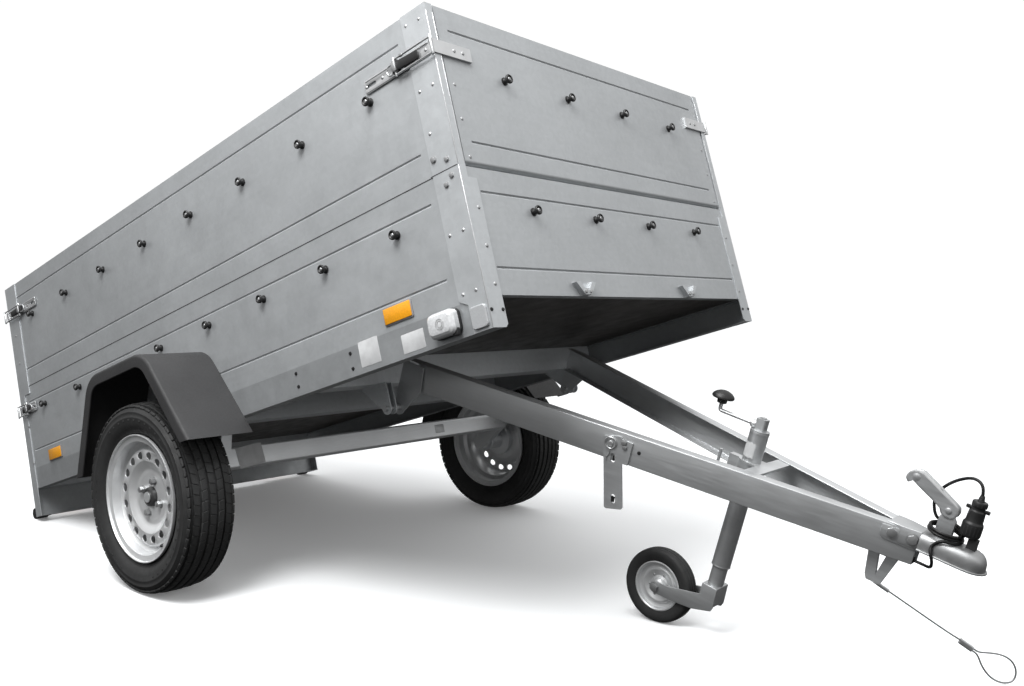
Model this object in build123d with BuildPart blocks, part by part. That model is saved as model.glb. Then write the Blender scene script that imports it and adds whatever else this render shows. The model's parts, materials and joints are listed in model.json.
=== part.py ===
"""Single-axle tilting utility trailer: a sheet-metal box bed on a torsion axle, with side
extensions, hinged to a V-shaped drawbar that stands on a jockey wheel.

Millimetres. Ground frame: +X forward, +Y left, +Z up, Z = 0 on the floor, X = 0 halfway along
the trailer. The bed and the drawbar are each drawn in a frame of their own, laid level, and
carried from there to the ground frame when they are written:
  BED  origin at the foot of the front wall's outer face, on the middle plane, +X forward
  BAR  origin on the drawbar's hinge pin, +X along the drawbar to the coupling
"""
from build123d import *
from math import sin, cos, tan, radians, degrees, atan2, sqrt
import os

os.makedirs("parts", exist_ok=True)

# ---------------------------------------------------------------- driving dimensions
# Stance
BED_PITCH = 17.1            # the bed's nose-up tilt against the floor, degrees
BREAK_ANGLE = 32.0          # the drawbar's fold under the bed's own plane, degrees

# Bed box
BED_LENGTH = 2340.0
BED_WIDTH = 1280.0
WALL = 20.0                 # a folded side, front or rear wall, skin to skin
SKIN = 3.0                  # corner posts lie this far outside the walls
RAIL_HEIGHT = 75.0
RAIL_FLANGE = 40.0
RAIL_GAUGE = 2.5
FLOOR_BOARD = 9.0
CROSS_DEPTH = 60.0
CROSS_FRONTS = (-618.0, -1080.0, -BED_LENGTH + 63.0)   # front faces of the members across the bed
LOWER_WALL = 302.0          # height of the lower walls above the rails
UPPER_WALL = 389.0          # height of the extension walls
SEAM_GAP = 6.0              # clearance round every hinged wall
GROOVE_WIDTH = 9.0
GROOVE_DEPTH = 2.5
GROOVE_INSET = 108.0        # a side groove stops this far short of the corners
GROOVE_INSET_END = 60.0     # the same on the end walls

# Corner posts
POST_FRONT_FLANGE = 53.0
POST_SIDE_FLANGE = 83.0
POST_FOOT_WIDTH = 58.0      # the side flange narrows to this beside the rail
POST_LAP = 27.0             # the extension posts reach this far down over the lower walls
POST_CORNER_R = 8.0
REAR_POST_FLANGE = 40.0

# Rope knobs
KNOB_SPACING_SIDE = 273.0
KNOB_FIRST_SIDE = 233.0
KNOB_LAST_CLEAR = 180.0      # least room behind a side row's last knob
KNOB_COUNT_SIDE = 1 + int((BED_LENGTH - KNOB_FIRST_SIDE - KNOB_LAST_CLEAR) // KNOB_SPACING_SIDE)
KNOB_SPACING_END = 265.0
KNOB_COUNT_END = 4
KNOB_REACH = 20.0
KNOB_HEAD_R = 12.0
KNOB_STEM_R = 7.0
KNOB_LOWER_HEIGHT = 288.0
KNOB_UPPER_HEIGHT = 626.0

# Running gear
AXLE_SETBACK = 1263.0       # wheel centre behind the front wall
AXLE_DROP = 162.5           # wheel centre below the rails
WHEEL_OUTSET = 113.0        # wheel middle plane outside the bed
TYRE_R = 273.5
TYRE_WIDTH = 155.0
RIM_FLANGE_R = 182.5
RIM_SEAT_R = 165.0
RIM_WELL_R = 148.0
RIM_WIDTH = 114.0
RIM_GAUGE = 3.5
VENT_COUNT = 16
VENT_CIRCLE_R = 122.5
VENT_R = 8.5
HUB_FACE = 22.0             # hub mounting face outside the wheel's middle plane
STUB_R = 15.0
AXLE_TUBE = 62.0
AXLE_LEAD = 122.0           # axle tube ahead of the wheel centre
AXLE_TUBE_DROP = 99.0
ARM_THICK = 24.0

# Fender
FENDER_WIDTH = 200.0
FENDER_TOP = 228.0
FENDER_BOTTOM = -52.0
FENDER_TOP_LENGTH = 325.0
FENDER_FOOT_LENGTH = 640.0
FENDER_SHIFT = 10.0         # arch centre ahead of the wheel centre
FENDER_GAUGE = 4.0
FENDER_LIP = 36.0
FENDER_BEND_R = 55.0

# Tail
LAMP_BOARD_HEIGHT = 101.0
LAMP_BOARD_DEPTH = 36.0
BUFFER_R = 20.0
BUFFER_REACH = 36.0
BUFFER_WIDTH = 42.0

# Drawbar hinge
HINGE_SETBACK = 600.0
HINGE_DROP = 72.0
HINGE_PIN_R = 8.0
PIVOT_PLATE_Y = 386.0       # inner face of a pivot plate, from the middle plane
PLATE = 4.0

# Drawbar
BEAM_TOP = 141.0            # above the hinge pin
BEAM_HEIGHT = 76.5
BEAM_FLANGE = 38.0
BEAM_GAUGE = 3.0
BEAM_REAR_HALF = 400.0      # outer face from the middle plane, abreast of the pin
BEAM_LENGTH = 1288.0        # pin to the beams' front ends
BEAM_FRONT_HALF = 22.0      # outer face from the middle plane at the front ends
COUPLING_REACH = 144.0      # the coupling's nose beyond the beams' front ends
COUPLING_GRIP = 70.0        # how far the coupling reaches back over the beams
NOSE_REACH = BEAM_LENGTH + COUPLING_REACH

# Jockey wheel
JOCKEY_STATION = 857.0      # pin to the jockey tube's axis
JOCKEY_TUBE_R = 24.0
JOCKEY_TUBE_TOP = 216.0
JOCKEY_TUBE_FOOT = -153.0
JOCKEY_INNER_R = 20.0
JOCKEY_TRAIL = 147.0
JOCKEY_WHEEL_R = 100.0
JOCKEY_WHEEL_WIDTH = 46.0
JOCKEY_AXLE_R = 7.0

# Running clearances
PIN_CLEARANCE = 0.05
PIVOT_R = 4.0
PIVOT_HOLE_DEPTH = 14.0
FACE_CLEARANCE = 0.3

# ---------------------------------------------------------------- worked-out places
HALF = BED_WIDTH / 2
LOWER_TOP = RAIL_HEIGHT + LOWER_WALL
UPPER_FOOT = LOWER_TOP + SEAM_GAP
UPPER_TOP = UPPER_FOOT + UPPER_WALL
FLOOR_TOP = RAIL_HEIGHT + FLOOR_BOARD
SKIN_FACE = HALF - SKIN             # outer faces of the walls
INNER_FACE = SKIN_FACE - WALL       # inner faces of the side walls
WHEEL_Y = HALF + WHEEL_OUTSET
BAR_PITCH = BED_PITCH - BREAK_ANGLE


def tilted(x, z, pitch):
    """A point of a frame pitched nose-up by `pitch` degrees, as ground x and z offsets."""
    return x * cos(radians(pitch)) - z * sin(radians(pitch)), x * sin(radians(pitch)) + z * cos(radians(pitch))


# The road wheels stand on the floor and fix the bed's height.
BED_Z = TYRE_R - tilted(-AXLE_SETBACK, -AXLE_DROP, BED_PITCH)[1]
PIN_DX, PIN_DZ = tilted(-HINGE_SETBACK, -HINGE_DROP, BED_PITCH)
PIN_Z = BED_Z + PIN_DZ
# The overall length runs from the upper rear edge of the bed to the coupling's nose.
REAR_DX = tilted(-BED_LENGTH, UPPER_TOP, BED_PITCH)[0]
NOSE_DX = PIN_DX + tilted(NOSE_REACH, BEAM_TOP - BEAM_HEIGHT / 2, BAR_PITCH)[0]
BED_X = -(REAR_DX + NOSE_DX) / 2
PIN_X = BED_X + PIN_DX
# The jockey wheel stands on the floor and fixes how far its leg is run out.
JOCKEY_AXLE_U = JOCKEY_STATION - JOCKEY_TRAIL
JOCKEY_AXLE_W = (JOCKEY_WHEEL_R - PIN_Z - JOCKEY_AXLE_U * sin(radians(BAR_PITCH))) / cos(radians(BAR_PITCH))
# The tail buffers touch the floor too.
BUFFER_X = -BED_LENGTH - BUFFER_REACH
BUFFER_Z = (BUFFER_R - BED_Z - BUFFER_X * sin(radians(BED_PITCH))) / cos(radians(BED_PITCH))


def pitched_plane(x, z, pitch):
    """The ground-frame plane of an assembly whose +X is pitched nose-up by `pitch` degrees."""
    a = radians(pitch)
    return Plane(origin=(x, 0, z), x_dir=(cos(a), 0, sin(a)), z_dir=(-sin(a), 0, cos(a)))


BED = pitched_plane(BED_X, BED_Z, BED_PITCH)
BAR = pitched_plane(PIN_X, PIN_Z, BAR_PITCH)


def side_plane(y):
    """A plane across the assembly at y: local x, y are the assembly's X, Z; it faces the right."""
    return Plane(origin=(0, y, 0), x_dir=(1, 0, 0), z_dir=(0, -1, 0))


def write(piece, label, frame):
    """Carry one finished piece to the ground frame and write it."""
    placed = piece.moved(frame.location)
    placed.label = label
    export_step(placed, f"parts/{label}.step")


def write_pair(piece, label, frame):
    """Write a right-hand piece and its mirror image."""
    write(piece, f"{label}_right", frame)
    write(mirror(piece, about=Plane.XZ), f"{label}_left", frame)


def group(*pieces):
    """Several pieces as one node of separate solids."""
    return Compound(children=[solid for piece in pieces for solid in piece.solids()])


def both_sides(piece):
    """A right-hand piece and its mirror image as one node."""
    return group(piece, mirror(piece, about=Plane.XZ))


def slab(x, y, z):
    """A box between two corners given as (low, high) along each axis."""
    with BuildPart() as block:
        with BuildSketch(Plane.XY.offset(z[0])):
            with Locations(((x[0] + x[1]) / 2, (y[0] + y[1]) / 2)):
                Rectangle(x[1] - x[0], y[1] - y[0])
        extrude(amount=z[1] - z[0])
    return block.part


# ---------------------------------------------------------------- bed frame
def rail():
    """Right side rail: a channel that opens inwards, closed by nothing at its ends."""
    web, tip = -SKIN_FACE, -(SKIN_FACE - RAIL_FLANGE)
    with BuildPart() as channel:
        with BuildSketch(Plane.YZ.offset(-BED_LENGTH + SKIN)):
            with BuildLine():
                Polyline((web, 0), (tip, 0), (tip, RAIL_GAUGE), (web + RAIL_GAUGE, RAIL_GAUGE),
                         (web + RAIL_GAUGE, RAIL_HEIGHT - RAIL_GAUGE), (tip, RAIL_HEIGHT - RAIL_GAUGE),
                         (tip, RAIL_HEIGHT), (web, RAIL_HEIGHT), close=True)
            make_face()
        extrude(amount=BED_LENGTH - 2 * SKIN)
    return channel.part


def cross_member(x_rear, x_front):
    """A channel across the bed between the rails, open to the rear."""
    span = SKIN_FACE - RAIL_FLANGE
    with BuildPart() as channel:
        with BuildSketch(side_plane(span)):
            with BuildLine():
                Polyline((x_rear, 0), (x_front, 0), (x_front, RAIL_HEIGHT), (x_rear, RAIL_HEIGHT),
                         (x_rear, RAIL_HEIGHT - RAIL_GAUGE), (x_front - RAIL_GAUGE, RAIL_HEIGHT - RAIL_GAUGE),
                         (x_front - RAIL_GAUGE, RAIL_GAUGE), (x_rear, RAIL_GAUGE), close=True)
            make_face()
        extrude(amount=2 * span)
    return channel.part


def groove(height):
    """Outline of a shallow V cut into a face that stands at x = 0, at the given height."""
    return (0.5, height - GROOVE_WIDTH / 2), (0.5, height + GROOVE_WIDTH / 2), (-GROOVE_DEPTH, height)


def side_wall(z_foot, z_top, grooves):
    """Right side wall with its long pressed grooves."""
    with BuildPart() as wall:
        with BuildSketch(Plane.XY.offset(z_foot)):
            with Locations((-BED_LENGTH / 2, -(SKIN_FACE - WALL / 2))):
                Rectangle(BED_LENGTH - 2 * SKIN, WALL)
        extrude(amount=z_top - z_foot)
        x_start, x_end = -BED_LENGTH + GROOVE_INSET_END, -GROOVE_INSET
        for height in grooves:
            with BuildSketch(Plane(origin=(x_end, -SKIN_FACE, 0), x_dir=(0, -1, 0), z_dir=(-1, 0, 0))):
                with BuildLine():
                    Polyline(*groove(height), close=True)
                make_face()
            extrude(amount=x_end - x_start, mode=Mode.SUBTRACT)
    return wall.part


def end_wall(x_outer, facing, half, z_foot, z_top, grooves, hinged):
    """A wall across the bed. `facing` is +1 for a front wall and -1 for a rear one.

    A hinged wall has a round lower edge about its pivot, and a pivot hole in each end.
    """
    x_mid = x_outer - facing * WALL / 2
    pivot_z = z_foot + WALL / 2
    with BuildPart() as wall:
        with BuildSketch(side_plane(half)):
            z_straight = pivot_z if hinged else z_foot
            with Locations((x_mid, (z_straight + z_top) / 2)):
                Rectangle(WALL, z_top - z_straight)
            if hinged:
                with Locations((x_mid, pivot_z)):
                    Circle(WALL / 2)
        extrude(amount=2 * half)
        run = half - (GROOVE_INSET_END - SKIN - WALL)
        for height in grooves:
            with BuildSketch(Plane(origin=(x_outer, facing * run, 0), x_dir=(facing, 0, 0), z_dir=(0, -facing, 0))):
                with BuildLine():
                    Polyline(*groove(height), close=True)
                make_face()
            extrude(amount=2 * run, mode=Mode.SUBTRACT)
        if hinged:
            for side in (-1, 1):
                with BuildSketch(side_plane(side * half)):
                    with Locations((x_mid, pivot_z)):
                        Circle(PIVOT_R + PIN_CLEARANCE)
                extrude(amount=side * PIVOT_HOLE_DEPTH, mode=Mode.SUBTRACT)
    return wall.part


def pivot_pins(x_outer, facing, z_foot):
    """The two pins that a hinged end wall turns on, set in the side walls."""
    with BuildPart() as pin:
        with BuildSketch(side_plane(-(HINGED_HALF - PIVOT_HOLE_DEPTH + 2.0))):
            with Locations((x_outer - facing * WALL / 2, z_foot + WALL / 2)):
                Circle(PIVOT_R)
        extrude(amount=INNER_FACE - HINGED_HALF + PIVOT_HOLE_DEPTH - 2.0)
    return both_sides(pin.part)


LOWER_GROOVES = (139.0, 319.0)
UPPER_GROOVES = (440.0, 716.0)
FRONT_X = -SKIN
REAR_X = -BED_LENGTH + SKIN
HINGED_HALF = INNER_FACE - SEAM_GAP

write_pair(rail(), "rail", BED)
write(group(*[cross_member(x_front - CROSS_DEPTH, x_front) for x_front in CROSS_FRONTS]), "cross_members", BED)

write(slab((REAR_X + WALL + SEAM_GAP, FRONT_X - WALL), (-INNER_FACE, INNER_FACE), (RAIL_HEIGHT, FLOOR_TOP)),
      "floor_board", BED)
write_pair(side_wall(RAIL_HEIGHT, LOWER_TOP, LOWER_GROOVES), "side_wall", BED)
write(end_wall(FRONT_X, 1, INNER_FACE, RAIL_HEIGHT, LOWER_TOP, LOWER_GROOVES, False), "front_wall", BED)
write_pair(side_wall(LOWER_TOP, UPPER_TOP, UPPER_GROOVES), "extension_side", BED)
TAILGATE_FOOT = FLOOR_TOP + SEAM_GAP
# Walls that fold down: outer face, facing, foot, top, grooves
HINGED_WALLS = {
    "extension_front": (FRONT_X, 1, UPPER_FOOT, UPPER_TOP, UPPER_GROOVES),
    "extension_rear": (REAR_X, -1, UPPER_FOOT, UPPER_TOP, UPPER_GROOVES),
    "tailgate": (REAR_X, -1, TAILGATE_FOOT, LOWER_TOP, LOWER_GROOVES),
}
for label, (x_outer, facing, z_foot, z_top, grooves) in HINGED_WALLS.items():
    write(end_wall(x_outer, facing, HINGED_HALF, z_foot, z_top, grooves, True), label, BED)
WALL_PINS = [pivot_pins(x_outer, facing, z_foot) for x_outer, facing, z_foot, _, _ in HINGED_WALLS.values()]


def front_post():
    """Right front corner post: an angle whose front flange runs down past the rail."""
    post_top = LOWER_TOP - POST_LAP
    with BuildPart() as post:
        with BuildSketch(side_plane(-SKIN_FACE)):
            with BuildLine():
                Polyline((0, 0), (0, post_top), (-POST_SIDE_FLANGE, post_top), (-POST_SIDE_FLANGE, RAIL_HEIGHT + 5.0),
                         (-POST_FOOT_WIDTH, RAIL_HEIGHT - 8.0), (-POST_FOOT_WIDTH, 0), close=True)
            make_face()
        extrude(amount=SKIN)
        with BuildSketch(Plane.YZ.offset(-SKIN)):
            with BuildLine():
                Polyline((-SKIN_FACE, 0), (-HALF + POST_FRONT_FLANGE - POST_CORNER_R, 0),
                         (-HALF + POST_FRONT_FLANGE, POST_CORNER_R), (-HALF + POST_FRONT_FLANGE, post_top),
                         (-SKIN_FACE, post_top), close=True)
            make_face()
        extrude(amount=SKIN)
    return post.part


def rear_post():
    """Right rear corner post: an angle round the end of the side wall, down past the rail."""
    with BuildPart() as post:
        with BuildSketch(Plane.XY.offset(-LAMP_BOARD_HEIGHT)):
            with BuildLine():
                Polyline((-BED_LENGTH, -HALF), (-BED_LENGTH, -INNER_FACE), (REAR_X, -INNER_FACE),
                         (REAR_X, -SKIN_FACE), (-BED_LENGTH + REAR_POST_FLANGE, -SKIN_FACE),
                         (-BED_LENGTH + REAR_POST_FLANGE, -HALF), close=True)
            make_face()
        extrude(amount=LAMP_BOARD_HEIGHT + LOWER_TOP - POST_LAP)
    return post.part


def extension_post(x_end, facing):
    """Right corner post of the extension: a lipped angle round the end of its side wall."""
    x_skin, x_tip = x_end - facing * SKIN, x_end - facing * POST_SIDE_FLANGE
    foot = LOWER_TOP - POST_LAP
    with BuildPart() as post:
        with BuildSketch(Plane.XY.offset(foot)):
            with BuildLine():
                Polyline((x_end, -HALF), (x_end, -INNER_FACE), (x_skin, -INNER_FACE), (x_skin, -SKIN_FACE),
                         (x_tip, -SKIN_FACE), (x_tip, -HALF), close=True)
            make_face()
        extrude(amount=UPPER_TOP - foot)
    return post.part


write(both_sides(group(extension_post(0, 1), extension_post(-BED_LENGTH, -1))), "extension_posts", BED)
write(group(both_sides(front_post()), both_sides(rear_post())), "corner_posts", BED)


# ---------------------------------------------------------------- tail
def lamp_board():
    """Folded board under the tail: a web with its top and bottom edges turned forwards."""
    gauge = RAIL_GAUGE
    with BuildPart() as board:
        with BuildSketch(side_plane(SKIN_FACE)):
            with BuildLine():
                x0, x1 = REAR_X, REAR_X + LAMP_BOARD_DEPTH
                Polyline((x0, 0), (x1, 0), (x1, -gauge), (x0 + gauge, -gauge),
                         (x0 + gauge, -LAMP_BOARD_HEIGHT + gauge), (x1, -LAMP_BOARD_HEIGHT + gauge),
                         (x1, -LAMP_BOARD_HEIGHT), (x0, -LAMP_BOARD_HEIGHT), close=True)
            make_face()
        extrude(amount=2 * SKIN_FACE)
    return board.part


BUFFER_NECK = 16.0          # half height of the block behind the roller
BUFFER_LAP = 20.0           # least height of the block's foot on the lamp board
BUFFER_INSET = 12.0


def tail_buffer():
    """Right rubber buffer: a rounded block on the tail that meets the floor when the bed tips."""
    y_outer = HALF - BUFFER_INSET
    # The foot of the block reaches the lamp board wherever the floor puts the roller.
    foot = min(BUFFER_Z - BUFFER_NECK, -BUFFER_LAP)
    head = max(BUFFER_Z + BUFFER_NECK, -LAMP_BOARD_HEIGHT + BUFFER_LAP)
    with BuildPart() as buffer:
        with BuildSketch(side_plane(-(y_outer - BUFFER_WIDTH))):
            with Locations((BUFFER_X, BUFFER_Z)):
                Circle(BUFFER_R)
            with Locations(((BUFFER_X - BED_LENGTH) / 2, (foot + head) / 2)):
                Rectangle(-BED_LENGTH - BUFFER_X, head - foot)
        extrude(amount=BUFFER_WIDTH)
    return buffer.part


TAIL_LAMP = (200.0, 84.0, 24.0)     # width, height, depth


def tail_lamp():
    """Right rear lamp cluster on the lamp board."""
    width, height, depth = TAIL_LAMP
    with BuildPart() as lamp:
        with BuildSketch(Plane(origin=(REAR_X, -(HALF - 75.0 - width / 2), -LAMP_BOARD_HEIGHT / 2),
                               x_dir=(0, -1, 0), z_dir=(-1, 0, 0))):
            RectangleRounded(width, height, 12.0)
        extrude(amount=depth)
    return lamp.part


write(lamp_board(), "lamp_board", BED)
write(both_sides(tail_buffer()), "tail_buffers", BED)
write(both_sides(tail_lamp()), "tail_lamps", BED)


# ---------------------------------------------------------------- running gear
def axle_beam():
    """Square torsion tube with its hanger brackets under the rails."""
    x_mid = -AXLE_SETBACK + AXLE_LEAD
    half = AXLE_TUBE / 2
    with BuildPart() as beam:
        with BuildSketch(side_plane(HALF)):
            with Locations((x_mid, -AXLE_TUBE_DROP)):
                RectangleRounded(AXLE_TUBE, AXLE_TUBE, 6.0)
        extrude(amount=2 * HALF)
        for side in (-1, 1):
            y_outer = side * (SKIN_FACE - 4.0)
            y_inner = side * (SKIN_FACE - RAIL_FLANGE)
            with BuildSketch(side_plane(max(y_outer, y_inner))):
                with BuildLine():
                    Polyline((x_mid - half - 30.0, 0), (x_mid + half + 30.0, 0),
                             (x_mid + half, -AXLE_TUBE_DROP + half - 10.0), (x_mid - half, -AXLE_TUBE_DROP + half - 10.0),
                             close=True)
                make_face()
            extrude(amount=abs(y_outer - y_inner))
    return beam.part


def trailing_arm():
    """Right trailing arm with the stub axle that carries the wheel."""
    y_inner = HALF
    run = Vector(AXLE_LEAD, AXLE_DROP - AXLE_TUBE_DROP)
    angle = degrees(atan2(run.Y, run.X))
    with BuildPart() as arm:
        with BuildSketch(side_plane(-y_inner)):
            with Locations(Location(((-AXLE_SETBACK + AXLE_LEAD / 2), -(AXLE_DROP + AXLE_TUBE_DROP) / 2, 0),
                                    (0, 0, angle))):
                SlotCenterToCenter(run.length, 56.0)
        extrude(amount=ARM_THICK)
        with BuildSketch(side_plane(-(y_inner + ARM_THICK))):
            with Locations((-AXLE_SETBACK, -AXLE_DROP)):
                Circle(STUB_R)
        extrude(amount=WHEEL_OUTSET + HUB_FACE + 20.0 - ARM_THICK)
    return arm.part


WHEEL_AXIS = Axis(origin=(-AXLE_SETBACK, 0, -AXLE_DROP), direction=(0, 1, 0))


def wheel_section(y_mid):
    """A sketch plane through the right wheel's axis: local x outboard, local y outwards from the axis."""
    return Plane(origin=(-AXLE_SETBACK, y_mid, -AXLE_DROP), x_dir=(0, -1, 0), z_dir=(1, 0, 0))


def tyre():
    """Right tyre: a filled ring with round shoulders and bulged sides."""
    half, seat = TYRE_WIDTH / 2, RIM_WIDTH / 2
    with BuildPart() as ring:
        with BuildSketch(wheel_section(-WHEEL_Y)):
            with BuildLine():
                foot = (seat, RIM_SEAT_R)
                lip = (seat, RIM_FLANGE_R + 1.0)
                bulge = (half, 0.5 * (RIM_FLANGE_R + TYRE_R) - 4.0)
                shoulder = (half - 15.0, TYRE_R - 6.0)
                crown = (0, TYRE_R)
                Line((0, RIM_SEAT_R), foot)
                Line(foot, lip)
                ThreePointArc(lip, (half - 4.0, RIM_FLANGE_R + 14.0), bulge)
                ThreePointArc(bulge, (half - 4.5, TYRE_R - 21.0), shoulder)
                ThreePointArc(shoulder, (half * 0.5, TYRE_R - 0.8), crown)
                Line(crown, (0, RIM_SEAT_R))
            make_face()
            mirror(about=Plane.YZ)
        revolve(axis=WHEEL_AXIS)
    return ring.part


def rim():
    """Right pressed steel rim: barrel, dished disc and its ring of vents."""
    seat, lip = RIM_WIDTH / 2, RIM_WIDTH / 2 + 11.0
    t = RIM_GAUGE
    with BuildPart() as wheel:
        with BuildSketch(wheel_section(-WHEEL_Y)):
            with BuildLine():
                Polyline((lip, RIM_FLANGE_R), (seat + 1.0, RIM_FLANGE_R - 1.0), (seat, RIM_SEAT_R), (30.0, RIM_SEAT_R - 2.0),
                         (20.0, RIM_WELL_R), (-22.0, RIM_WELL_R), (-34.0, RIM_SEAT_R - 2.0), (-seat, RIM_SEAT_R),
                         (-seat - 1.0, RIM_FLANGE_R - 1.0), (-lip, RIM_FLANGE_R), (-lip, RIM_FLANGE_R - t),
                         (-seat - t, RIM_FLANGE_R - 1.0 - t), (-seat - t, RIM_SEAT_R - t), (-34.0, RIM_SEAT_R - 2.0 - t),
                         (-22.0 - t, RIM_WELL_R - t), (20.0 + t, RIM_WELL_R - t), (30.0 + t, RIM_SEAT_R - 2.0 - t),
                         (seat + t, RIM_SEAT_R - t), (seat + t, RIM_FLANGE_R - 1.0 - t), (lip, RIM_FLANGE_R - t),
                         close=True)
            make_face()
        revolve(axis=WHEEL_AXIS)
        with BuildSketch(wheel_section(-WHEEL_Y)):
            with BuildLine():
                Polyline((16.0, RIM_WELL_R - t), (40.0, 138.0), (44.0, 126.0), (42.0, 108.0), (26.0, 82.0),
                         (HUB_FACE + t, 66.0), (HUB_FACE + t, 28.0), (HUB_FACE, 28.0), (HUB_FACE, 68.0),
                         (23.0, 84.0), (38.5, 109.0), (40.5, 125.0), (37.0, 135.5), (12.0, RIM_WELL_R - t), close=True)
            make_face()
        revolve(axis=WHEEL_AXIS)
        with BuildSketch(Plane(origin=(-AXLE_SETBACK, -WHEEL_Y, -AXLE_DROP), x_dir=(1, 0, 0), z_dir=(0, -1, 0))):
            with PolarLocations(VENT_CIRCLE_R, VENT_COUNT):
                Circle(VENT_R)
        extrude(amount=60.0, mode=Mode.SUBTRACT)
    return wheel.part


def hub():
    """Right wheel hub: a flanged drum on the stub axle, with its cap through the rim's centre."""
    with BuildPart() as drum:
        with BuildSketch(wheel_section(-WHEEL_Y)):
            with BuildLine():
                bore = STUB_R + PIN_CLEARANCE
                Polyline((HUB_FACE, 70.0), (HUB_FACE, 27.5), (HUB_FACE + 26.0, 27.5), (HUB_FACE + 36.0, 20.0),
                         (HUB_FACE + 36.0, 0), (HUB_FACE + 22.0, 0), (HUB_FACE + 22.0, bore),
                         (HUB_FACE - 90.0, bore), (HUB_FACE - 90.0, 40.0), (HUB_FACE - 12.0, 60.0),
                         (HUB_FACE - 12.0, 70.0), close=True)
            make_face()
        revolve(axis=WHEEL_AXIS)
    return drum.part


write(axle_beam(), "axle_beam", BED)
write(both_sides(trailing_arm()), "trailing_arms", BED)
write_pair(tyre(), "tyre", BED)
write_pair(rim(), "rim", BED)
write_pair(hub(), "hub", BED)


def fender():
    """Right fender: an arch of five flats with a lip down its outer edge."""
    mid = -AXLE_SETBACK + FENDER_SHIFT
    foot, top = FENDER_FOOT_LENGTH / 2, FENDER_TOP_LENGTH / 2
    slope = (foot - top) / (FENDER_TOP - FENDER_BOTTOM)
    shelf = 34.0            # the corner flats start this far down and in

    def arch(inset):
        """The arch's outline, moved in by `inset`, open at its foot."""
        run = inset * sqrt(1 + slope * slope)
        z_top = FENDER_TOP - inset
        half_top = foot - slope * (z_top - FENDER_BOTTOM) - run
        return [(mid - foot + run, FENDER_BOTTOM), (mid - half_top, z_top), (mid + half_top, z_top),
                (mid + foot - run, FENDER_BOTTOM)]

    # Outer form, then the hollow under its skin, then the arch inside the lip
    cuts = ((0.0, FENDER_WIDTH + SKIN, Mode.ADD), (FENDER_GAUGE, FENDER_WIDTH + SKIN - FENDER_GAUGE, Mode.SUBTRACT),
            (FENDER_LIP, FENDER_WIDTH + SKIN, Mode.SUBTRACT))
    with BuildPart() as cover:
        for inset, depth, mode in cuts:
            with BuildSketch(side_plane(-SKIN_FACE)):
                with BuildLine():
                    a, b, c, d = arch(inset)
                    FilletPolyline(a, b, c, d, radius=FENDER_BEND_R - inset)
                    Line(d, a)
                make_face()
            extrude(amount=depth, mode=mode)
    return cover.part


write_pair(fender(), "fender", BED)


# ---------------------------------------------------------------- bed fittings
def knob_at(plane):
    """One rope knob standing on a plane: foot, stem and head turned in one piece."""
    with BuildPart() as knob:
        with BuildSketch(plane):
            Circle(KNOB_HEAD_R - 1.5)
        extrude(amount=3.5)
        with BuildSketch(plane.offset(3.5)):
            Circle(KNOB_STEM_R)
        extrude(amount=KNOB_REACH - 3.5 - 7.0)
        with BuildSketch(plane.offset(KNOB_REACH - 7.0)):
            Circle(KNOB_HEAD_R)
        extrude(amount=7.0)
        chamfer(knob.faces().sort_by(Axis(plane.origin, plane.z_dir))[-1].edges(), 2.0)
    return knob.part


def knob_row(planes):
    """Several knobs as one piece of separate solids."""
    return group(*[knob_at(plane) for plane in planes])


def side_knob_planes(height):
    return [Plane(origin=(-KNOB_FIRST_SIDE - i * KNOB_SPACING_SIDE, -SKIN_FACE, height), x_dir=(1, 0, 0),
                  z_dir=(0, -1, 0)) for i in range(KNOB_COUNT_SIDE)]


def end_knob_planes(x, facing, height):
    first = -KNOB_SPACING_END * (KNOB_COUNT_END - 1) / 2
    return [Plane(origin=(x, first + i * KNOB_SPACING_END, height), x_dir=(0, 1, 0), z_dir=(facing, 0, 0))
            for i in range(KNOB_COUNT_END)]


write(group(both_sides(knob_row(side_knob_planes(KNOB_LOWER_HEIGHT) + side_knob_planes(KNOB_UPPER_HEIGHT))),
            knob_row(end_knob_planes(FRONT_X, 1, KNOB_LOWER_HEIGHT - 3.0))), "rope_knobs_bed", BED)
write(knob_row(end_knob_planes(FRONT_X, 1, KNOB_UPPER_HEIGHT - 2.0)), "rope_knobs_extension_front", BED)
write(knob_row(end_knob_planes(REAR_X, -1, KNOB_LOWER_HEIGHT - 3.0)), "rope_knobs_tailgate", BED)
write(knob_row(end_knob_planes(REAR_X, -1, KNOB_UPPER_HEIGHT - 2.0)), "rope_knobs_extension_rear", BED)


LATCH_LENGTH = 228.0
LATCH_HEIGHT = 34.0
LATCH_SETBACK = 10.0        # from the bed's end to the latch's base
LATCH_PLATE = 3.0
BAIL_R = 2.5
BAIL_BAR_R = 3.2
BAIL_SPREAD = 38.0
BAIL_STANDOFF = 10.0
LEVER_HEIGHT = 20.0
LEVER_DEPTH = 13.0
BLOCK_LENGTH = 18.0
BLOCK_DEPTH = 19.0
UPPER_LATCH = 286.0         # latch height above the seam
LOWER_LATCH = -82.0
TAIL_LATCH_LENGTH = 118.0


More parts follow.
